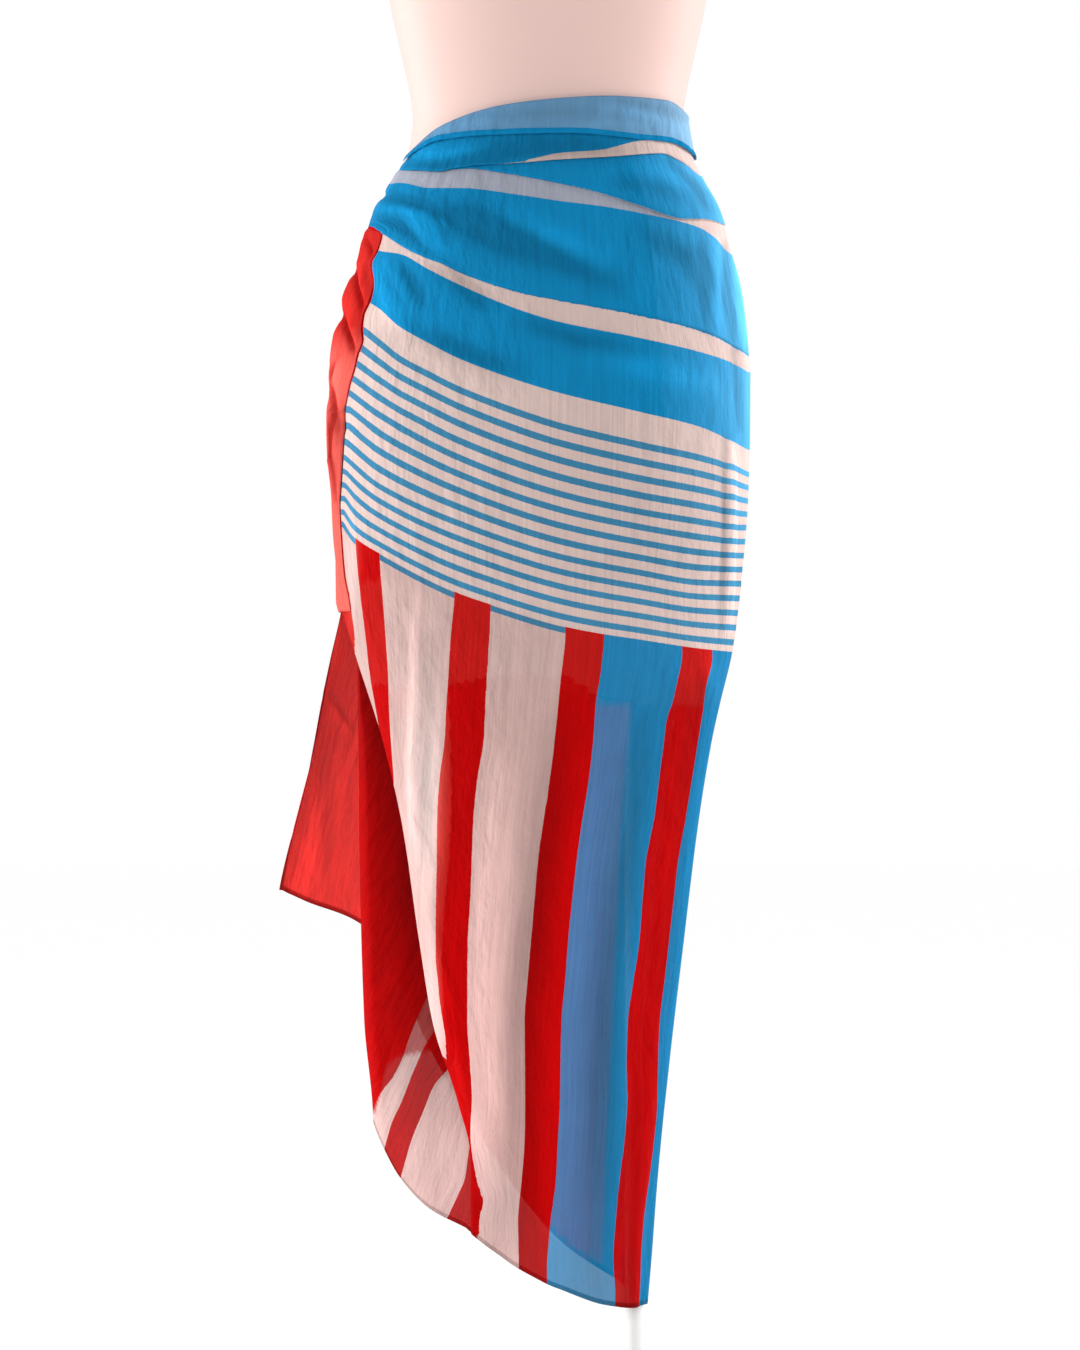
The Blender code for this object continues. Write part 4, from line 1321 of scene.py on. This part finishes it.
def make_back():
    """The red back with its tail."""
    columns = []
    for k in range(BACK_COLUMNS + 1):
        angle = SPLIT_ANGLE - OVERLAP + (180.0 - SPLIT_ANGLE + OVERLAP) * k / BACK_COLUMNS
        top = top_height(angle)
        hem = hem_height(angle)
        columns.append([back_corner(angle, hem, top, hem + (top - hem) * j / BACK_ROWS)
                        for j in range(BACK_ROWS + 1)])
    return lay_sheet("sarong_back", "wrap_back", "cloth_red", list(zip(*columns)),
                     cloth_right_side, cloth_wrong_side)


sarong_back, back_area = make_back()

# %% [markdown]
# The front end of the cloth hangs inside the front and shows to its left and below its edge. The
# same stripes cross it at a slant, because this end is turned.

# %% Falling end
# Each line: its place u on the flat cloth, then row and column in the picture.
FALL_LINES = [
    (0.000, [(995, 428), (1031, 412), (1057, 403), (1078, 393), (1089, 384), (1101, 377),
             (1123, 370)]),
    (0.030, [(1028, 436), (1045, 425), (1072, 413), (1101, 402), (1125, 391), (1151, 384)]),
    (0.060, [(1072, 446), (1086, 434), (1110, 424), (1139, 412), (1173, 402)]),
    (0.130, [(1158, 468), (1178, 465), (1195, 458), (1214, 449)]),
    (0.160, [(1204, 482), (1219, 480), (1231, 472)]),
]
# column and row of the hem of the layer behind the falling end; above it that red layer is painted in
# as showing through
LAYER_ARC = [(376, 1112), (381, 1091), (387, 1067), (402, 1056), (470, 1046)]
FALL_COLUMNS = 70
FALL_ROWS = 120
FALL_UNDER = 0.014
FALL_BEHIND = 0.0035
FALL_TOP = FALL_SECTIONS[-1][0]
fall_lines = [(u, curve(rows, open_ended=True)) for u, rows in FALL_LINES]
layer_arc = curve(LAYER_ARC)


def fall_u(column, row):
    """Place across the flat cloth of a spot of the falling end."""
    marks = [(line(row), u) for u, line in fall_lines]
    if column < marks[0][0]:
        return -0.0008 * (marks[0][0] - column) - 0.0002
    for (x0, u0), (x1, u1) in zip(marks, marks[1:]):
        if column <= x1:
            return u0 + (u1 - u0) * (column - x0) / max(x1 - x0, 0.5)
    return marks[-1][1] + 0.0009 * (column - marks[-1][0])


def fall_x(height, across):
    """How far to the wearer's left a spot of the falling end lies."""
    left = fall_left_x(height)
    return left + (fall_right_x(height) + FALL_UNDER - left) * across


def fall_corner(across, hem, height):
    """A corner of the falling end. Near the front's edge it stays behind the front."""
    near = fall_left_y(height)
    x = fall_x(height, across)
    y = near + (fall_right_y(height) - near) * math.sin(across * math.pi / 2.0)
    loose = min(1.0, (FALL_TOP - height) / 0.12) * math.sin(math.pi * across)
    y += 0.0016 * loose * math.sin(9.0 * across + 8.0 * height)
    y += 0.010 * max(0.0, 1.0 - across / 0.10) ** 2
    gap = front_edge_x(height) - x
    if gap < 0.0:
        y = max(y, wrap_place(height, -174.0)[1] + 0.35 * gap + FALL_BEHIND)
    column, row = in_picture(x, y, height)
    # painted shade by the front's edge and higher up, painted light at the left edge, painted red
    # behind
    dark = math.exp(-max(gap, 0.0) / 0.030) * clamp((height - 0.20) / 0.25)
    rim = max(0.0, 1.0 - across / 0.16) * clamp((height - 0.26) / 0.08)
    behind = clamp((layer_arc(column) - row) / 4.0 + 0.5)
    shade = 0.35 * clamp((height - 0.24) / 0.10) + 1.1 * dark - 0.25 * rim
    return (x, y, height), (fall_u(column, row), 1.10 - height), (shade, -behind), (height - hem, 0.0)


def make_fall():
    """The end that hangs inside the front and goes on a little under it."""
    columns = []
    for k in range(FALL_COLUMNS + 1):
        across = k / FALL_COLUMNS

        def above_hem(height, part=across):
            x = fall_x(height, part)
            return height > (hem_fall(x) if x < -0.070 else hem_front(x) + 0.0006)

        hem = solve(above_hem, 0.14, 0.30)
        columns.append([fall_corner(across, hem, hem + (FALL_TOP - hem) * j / FALL_ROWS)
                        for j in range(FALL_ROWS + 1)])
    return lay_sheet("sarong_fall", "wrap_fall", "cloth_red", list(zip(*columns)),
                     cloth_inner_end, cloth_inner_end)


sarong_fall, fall_area = make_fall()

# %% [markdown]
# At the waist the upper edge is turned out and down. What shows there is the wrong side of the
# cloth, so it is a paler blue, with the narrow hem of the edge along its foot.

# %% Waist cuff
CUFF_WIDTH = 0.033
CUFF_START = -160.0
CUFF_END = 130.0
CUFF_COLUMNS = 200
CUFF_ROWS = 16
CUFF_OVER = 0.0008
CUFF_OFF = 0.0024
# ridge and half breadth in millimetres, then column and row points
CUFF_CREASES = [
    (1.3, 3.0, [(598, 106), (640, 116), (684, 130)]),
    (-1.2, 3.2, [(612, 100), (655, 109), (688, 120)]),
    (1.0, 3.0, [(650, 126), (668, 132), (686, 142)]),
    (0.9, 3.0, [(438, 132), (470, 124), (500, 121)]),
    (-0.9, 3.4, [(505, 116), (550, 112), (590, 112)]),
    (0.8, 2.6, [(560, 128), (600, 124), (640, 126)]),
]
# where the upper edge rolls over: height above it, height at which the form is read, distance
# off the form, and flat width added
CUFF_ROLL = [(0.0012, 0.0012, 0.0014, 0.001), (0.0006, 0.0008, 0.0002, 0.002)]
# angle, share of the full width
cuff_share = curve([(-170, 0.05), (-143, 0.27), (-128, 0.47), (-107, 0.73), (-81, 0.91), (-52, 1.07),
                    (60, 1.0), (130, 1.0)])


def cuff_column(angle):
    """One column of the turned-down band, from its foot up and over."""
    turn = math.radians(angle)
    top = top_height(angle) + CUFF_OVER
    # narrow near the knot
    width = CUFF_WIDTH * min(cuff_share(angle), (145.0 - angle) / 40.0)
    # painted light round the sides
    light = PAINTED_RIM_LIGHT * math.exp(-(angle / RIM_WIDTH) ** 2)
    corners = []
    for j in range(CUFF_ROWS + 1):
        share = 1.0 - j / CUFF_ROWS
        height = top - width * share
        ripple = 0.0005 * math.sin(19.0 * turn + 3.0 * share) * share
        ripple += 0.0004 * math.sin(43.0 * turn - 5.0 * share) * share
        crease = 0.0
        if angle < 0.0:
            column, row = in_picture(*form_place(height, angle), height)
            crease = sum(crease_reach(fold, column, row) for fold in CUFF_CREASES)
        ripple += crease * min(1.0, 3.0 * share)
        across = width * (1.0 - share)
        bead = 0.0008 * math.exp(-((across - 0.0025) / 0.0022) ** 2)
        place = (*form_place(height, angle, CLOTH_GROW + CUFF_OFF + ripple + bead), height)
        # painted shade in the creases, with painted light on their ridges
        corners.append((place, (0.14 * turn, across), (clamp(-crease * CREASE_SHADE, -0.5, 0.5), light),
                        NO_HEM))
    for over, seen_over, off, added in CUFF_ROLL:
        place = (*form_place(top + seen_over, angle, CLOTH_GROW + off), top + over)
        corners.append((place, (0.14 * turn, width + added), *corners[CUFF_ROWS][2:]))
    return corners


def make_cuff():
    """The turned-down band, rolled over at the upper edge."""
    columns = [cuff_column(CUFF_START + (CUFF_END - CUFF_START) * k / CUFF_COLUMNS)
               for k in range(CUFF_COLUMNS + 1)]
    return lay_sheet("sarong_cuff", "waist_cuff", "cloth_blue", list(zip(*columns)),
                     blue_reverse, blue_reverse)


sarong_cuff, cuff_area = make_cuff()

# %% [markdown]
# Under the knot the cloth is gathered: soft pleats that drape over the right hip and die out
# downwards. They are one sheet too, with each fold laid on as a sharp crease.

# %% Gathers
# Outline of the gathers, row and column of the picture.
GATHER_OUTLINE = [(226, 372.5), (234, 365.5), (250, 361), (262, 359), (271, 356.5), (284, 349),
                  (301, 343.5), (314, 344.2), (319, 342.5), (336, 334.5), (361, 331), (375, 329.2),
                  (391, 329.8), (411, 327.5), (432, 326.8), (458, 326.8), (467, 328.3), (502, 332.5),
                  (537, 334.5), (566, 337.5), (596, 340), (612, 341)]
# Height of the ridge and half breadth in millimetres, then column and row points.
GATHER_CREASES = [
    (-2.6, 2.0, [(356, 268), (357.5, 287), (362, 306), (363.5, 326)]),
    (1.5, 3.2, [(361, 262), (363, 282), (368, 300)]),
    (-2.6, 2.0, [(343.5, 315), (347, 330), (353, 348), (357, 357)]),
    (1.5, 3.0, [(349, 300), (353, 322), (358, 342)]),
    (-1.6, 1.8, [(366, 238), (371, 250), (374, 260)]),
    (-1.2, 1.6, [(330, 377), (335, 364), (341, 354)]),
    (-1.7, 2.2, [(327, 456), (330, 432), (334, 408), (335, 388)]),
    (1.0, 3.0, [(338, 350), (338, 380), (337, 420)]),
    (-1.3, 2.6, [(331, 366), (330, 386), (334, 404), (339, 424), (341, 440)]),
    (-1.2, 2.2, [(328, 430), (329, 452), (333, 476), (336, 500)]),
]
GATHER_FRONT_MARGIN = 1.0
GATHER_BEHIND = 30.0
GATHER_COLUMNS = 110
GATHER_ROWS = 150
GATHER_LEAST = 0.0009
GATHER_GAIN = 1.5
# painted shade in the folds, per metre of their depth
GATHER_SHADE = 420.0
# degrees behind the body's side within which the gathers show from the front
GATHER_SHOWN = 4.0
gather_outline = curve(GATHER_OUTLINE)
gather_border = curve(DOWN_LINES[0][2])
gather_top = height_of_row(GATHER_OUTLINE[0][0], 0.0)
gather_bottom = height_of_row(GATHER_OUTLINE[-1][0], 0.0)


def gather_corner(height, bulge, first, last, across):
    """A corner of the gathers, between their borders at last behind and first in front."""
    turned_by = -last + (first + last) * across
    angle = -180.0 + turned_by
    side = turned_by / first if turned_by > 0.0 else turned_by / last
    spread = 1.0 - abs(side) ** 2.4
    x, y = wrap_place(height, angle if angle >= -180.0 else angle + 360.0)
    if turned_by < 0.0:
        edge_x, edge_y = wrap_place(height, -180.0)
        share = min(1.0, -turned_by / (0.6 * last))
        x = edge_x + (x - edge_x) * share
        y = edge_y + (y - edge_y) * (share if y > edge_y else 1.0)
    column, row = in_picture(x - bulge * spread, y, height)
    if turned_by > -GATHER_SHOWN:
        fold = sum(crease_reach(crease, column, row) for crease in GATHER_CREASES)
        fold *= GATHER_GAIN * min(1.0, spread * 2.5)
    else:
        fold = 0.0016 * spread * min(1.0, (-GATHER_SHOWN - turned_by) / 6.0)
        fold *= math.sin(70.0 * (height + 0.0024 * turned_by))
    out = GATHER_LEAST + bulge * spread + fold
    # painted light low down and along a rim by the border, painted shade in the folds
    low = clamp((row - 325.0) / 45.0)
    rim = max(0.0, 1.0 - abs(turned_by + 2.0) / 9.0) * (1.0 - low)
    shown = clamp((turned_by + 0.75 * last) / (0.6 * last))
    shade = min(0.9, -fold * GATHER_SHADE)
    light = shown * (0.10 + 0.54 * low + 0.20 * rim) * (1.0 - 0.8 * max(0.0, shade))
    turn = math.radians(angle)
    return ((x + out * math.cos(turn), y + out * math.sin(turn), height),
            (-0.20 + 0.16 * across, 1.10 - height),
            (shade - shown * (0.15 + 0.25 * low + 0.2 * rim), light), NO_HEM)


def gather_row(height):
    """One row of the gathers. Its bulge reaches out to the outline that the picture shows."""
    reach = (gather_outline(in_picture(0.0, 0.0, height)[1]) - PICTURE_WIDTH / 2.0) * PIXEL + CAMERA_X
    bulge = max(0.0012, wrap_place(height, -180.0)[0] - reach)
    first = max(3.0, angle_of_line(gather_border, height) + 180.0 - GATHER_FRONT_MARGIN)
    last = GATHER_BEHIND * (0.07 + 0.93 * min(1.0, (height - gather_bottom) / 0.19) ** 0.8)
    return [gather_corner(height, bulge, first, last, k / GATHER_COLUMNS)
            for k in range(GATHER_COLUMNS + 1)]


def make_gathers():
    """The pleats that spread out under the knot."""
    rows = [gather_row(gather_bottom + (gather_top - gather_bottom) * j / GATHER_ROWS)
            for j in range(GATHER_ROWS + 1)]
    return lay_sheet("sarong_gathers", "side_gathers", "cloth_red", rows, red_cloth, red_cloth)


sarong_gathers, gathers_area = make_gathers()

# %% [markdown]
# The knot sits behind the right hip. A tight bundle with a band of cloth passed round it reads as
# a knot from every side; both get the ridges that pulled cloth has.

# %% Knot
KNOT_HEIGHT = 1.042
KNOT_ANGLE = 140.0
KNOT_BUNDLE_RADIUS = 0.0160
KNOT_BUNDLE_HALF = 0.0240
KNOT_BAND_RADIUS = 0.0176
KNOT_BAND_DEEP = 0.0032
KNOT_BAND_TALL = 0.0078
KNOT_TILT = 24.0
KNOT_REACH = 0.0018 + 0.0016 + 0.0011 + KNOT_BAND_RADIUS + KNOT_BAND_DEEP


def knot_turn():
    """Turns a knot piece to lie against the hip."""
    x, y = form_place(KNOT_HEIGHT, KNOT_ANGLE)
    before = form_place(KNOT_HEIGHT, KNOT_ANGLE - 1.0)
    after = form_place(KNOT_HEIGHT, KNOT_ANGLE + 1.0)
    out = Vector((after[1] - before[1], before[0] - after[0], 0.0)).normalized()
    place = Vector((x, y, KNOT_HEIGHT)) + out * KNOT_REACH
    heading = math.atan2(out.y, out.x)
    tilt = Matrix.Rotation(math.radians(KNOT_TILT), 4, "X")
    return Matrix.Translation(place) @ Matrix.Rotation(heading, 4, "Z") @ tilt


def finish_knot(name, node, shape, turn):
    """Gives a knot piece a flat place from its own shape, for its threads, and turns it."""
    # the map named layers, for painted shade and light, stays at zero on the knot
    flat, layers, hem = (shape.loops.layers.uv.new(title) for title in ("cloth", "layers", "hem"))
    for face in shape.faces:
        for loop in face.loops:
            place = loop.vert.co
            loop[flat].uv = (0.02 * math.atan2(place.y, place.x), place.z)
            loop[hem].uv = NO_HEM
    bmesh.ops.transform(shape, matrix=turn, verts=shape.verts)
    finished(name, node, "cloth_red", shape, red_cloth)


def make_bundle(turn):
    """The tight bundle, drawn in under the band."""
    shape = bmesh.new()
    bmesh.ops.create_uvsphere(shape, u_segments=72, v_segments=40, radius=1.0)
    for vert in shape.verts:
        around = math.atan2(vert.co.y, vert.co.x)
        waist = 1.0 - 0.12 * math.exp(-((vert.co.z / 0.35) ** 2))
        ridge = 1.0 + 0.07 * math.sin(9.0 * around + 2.5 * vert.co.z) * (1.0 - vert.co.z ** 2)
        vert.co.x *= KNOT_BUNDLE_RADIUS * waist * ridge
        vert.co.y *= KNOT_BUNDLE_RADIUS * waist * ridge
        vert.co.z *= KNOT_BUNDLE_HALF
    finish_knot("knot_bundle_cloth", "knot_bundle", shape, turn)


def make_band(turn):
    """The band round the bundle."""
    shape = bmesh.new()
    bmesh.ops.create_circle(shape, cap_ends=False, segments=24, radius=1.0)
    for vert in shape.verts:
        vert.co = (KNOT_BAND_RADIUS + KNOT_BAND_DEEP * vert.co.x, 0.0, KNOT_BAND_TALL * vert.co.y)
    bmesh.ops.spin(shape, geom=shape.verts[:] + shape.edges[:], cent=(0.0, 0.0, 0.0),
                   axis=(0.0, 0.0, 1.0), angle=2.0 * math.pi, steps=72, use_merge=True)
    for vert in shape.verts:
        around = math.atan2(vert.co.y, vert.co.x)
        ridge = 0.0008 * math.sin(vert.co.z * 1400.0 + 2.0 * math.sin(around))
        size = math.hypot(vert.co.x, vert.co.y)
        if size > KNOT_BAND_RADIUS:
            vert.co.x *= 1.0 + ridge / size
            vert.co.y *= 1.0 + ridge / size
    bmesh.ops.recalc_face_normals(shape, faces=shape.faces)
    finish_knot("knot_band_cloth", "knot_band", shape, turn)


to_hip = knot_turn()
make_bundle(to_hip)
make_band(to_hip)
print("knot at", [round(value, 3) for value in to_hip.translation])

# %% [markdown]
# The form is a moulded shell with a fine matt paint in a skin-like pink. It is spun as a plain
# column of rings first, and each ring is then moved to the form's own outline at its height.

# %% Form
FORM_AROUND = 112
FORM_STEPS = 150
FORM_EDGE = 0.004
FORM_COLOUR = (0.79, 0.555, 0.505, 1.0)


def matt_paint(name, colour, roughness, mottle, coat=0.0):
    """A sprayed finish with faint clouds and a fine grain."""
    wires = Wires(bpy.data.materials.new(name))
    place = wires.add("ShaderNodeTexCoord").outputs["Object"]
    clouds = wires.noise(place, 7.0, 3.0)
    darker = tuple(value * (1.0 - mottle) for value in colour[:3]) + (1.0,)
    wires.relief(wires.noise(place, 900.0), 0.12, 0.0002)
    wires.fill(wires.shader, {
        "Base Color": wires.mix(clouds, darker, colour), "Roughness": clouds * 0.1 + roughness,
        "Specular IOR Level": 0.3, "Coat Weight": coat})
    return wires.owner


def bust(x, height):
    """How far the bust stands out of the plain section."""
    reach = ((abs(x) - BUST_SPREAD) ** 2 + (height - BUST_HEIGHT) ** 2) / BUST_RADIUS ** 2
    return BUST_RISE * math.exp(-2.0 * reach)


def make_form():
    """The whole limbless form, closed above and below."""
    # share of the width, and share of the height; below zero it is the rounded lower edge
    profile = [(0.0, -0.20), (0.30, -0.20), (0.60, -0.20), (0.85, -0.18), (0.95, -0.12), (0.985, -0.06)]
    profile += [(1.0, step / FORM_STEPS) for step in range(FORM_STEPS + 1)]
    profile += [(0.5, 1.0), (0.0, 1.0)]
    shape = bmesh.new()
    verts = [shape.verts.new((share, 0.0, rise)) for share, rise in profile]
    edges = [shape.edges.new(pair) for pair in zip(verts, verts[1:])]
    bmesh.ops.spin(shape, geom=verts + edges, cent=(0.0, 0.0, 0.0), axis=(0.0, 0.0, 1.0),
                   angle=2.0 * math.pi, steps=FORM_AROUND, use_merge=True)
    bmesh.ops.remove_doubles(shape, verts=shape.verts, dist=0.00001)
    for vert in shape.verts:
        angle = math.degrees(math.atan2(vert.co.y, vert.co.x))
        share = min(1.0, math.hypot(vert.co.x, vert.co.y))
        rise = vert.co.z
        bottom = form_lower_end(form_place(FORM_SECTIONS[0][0], angle)[0] * share)
        edge = FORM_EDGE * (1.0 + min(rise, 0.0) / 0.20)
        height = bottom + edge + (NECK_TOP - bottom - FORM_EDGE) * max(rise, 0.0)
        x, y = form_place(height, angle)
        if y < 0.0 and rise > 0.0:
            y -= bust(x, height) * min(1.0, -y / 0.05)
        vert.co = (x * share, y * share, height)
    bmesh.ops.recalc_face_normals(shape, faces=shape.faces)
    paint = matt_paint("form_paint", FORM_COLOUR, 0.48, 0.05)
    return finished("dress_form", "form_torso", "form_skin", shape, paint)


dress_form = make_form()
print("form", len(dress_form.data.polygons), "faces")

# %% [markdown]
# The stand is plain painted metal: a heavy round plate, a pole, a socket that holds the pole and a
# small flange under the thigh. The CAD meshes already have the right shape, so they stay, and
# only their finish is made here.

# %% Stand
stand_paint = matt_paint("stand_paint", (0.84, 0.84, 0.83, 1.0), 0.32, 0.04, coat=0.3)
for node in ("form_neck_cap", "stand_base", "stand_pole", "stand_socket", "stand_flange"):
    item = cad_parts[node]
    item = bpy.data.objects[item] if isinstance(item, str) else item
    for spot in item.material_slots:
        spot.material = stand_paint
print("stand painted")

FRONT_CUT = (0.60, 1.07)
BACK_CUT = (0.40, 1.03)
FALL_CUT = (0.10, 0.49)
CUFF_CUT = (0.72, 0.034)
GATHERS_CUT = (0.17, 0.26)


def declare(item, cut, area):
    share = min(1.0, area / (cut[0] * cut[1]))
    cut[0] * cut[1] * max(share, 0.31)
    print(item.name, "draped", round(area, 4), "flat", round(cut[0] * cut[1], 4))


declare(sarong_front, FRONT_CUT, front_area)
declare(sarong_back, BACK_CUT, back_area)
declare(sarong_fall, FALL_CUT, fall_area)
declare(sarong_cuff, CUFF_CUT, cuff_area)
declare(sarong_gathers, GATHERS_CUT, gathers_area)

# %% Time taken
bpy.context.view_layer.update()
print("made in", round(time.perf_counter() - started, 1), "s")
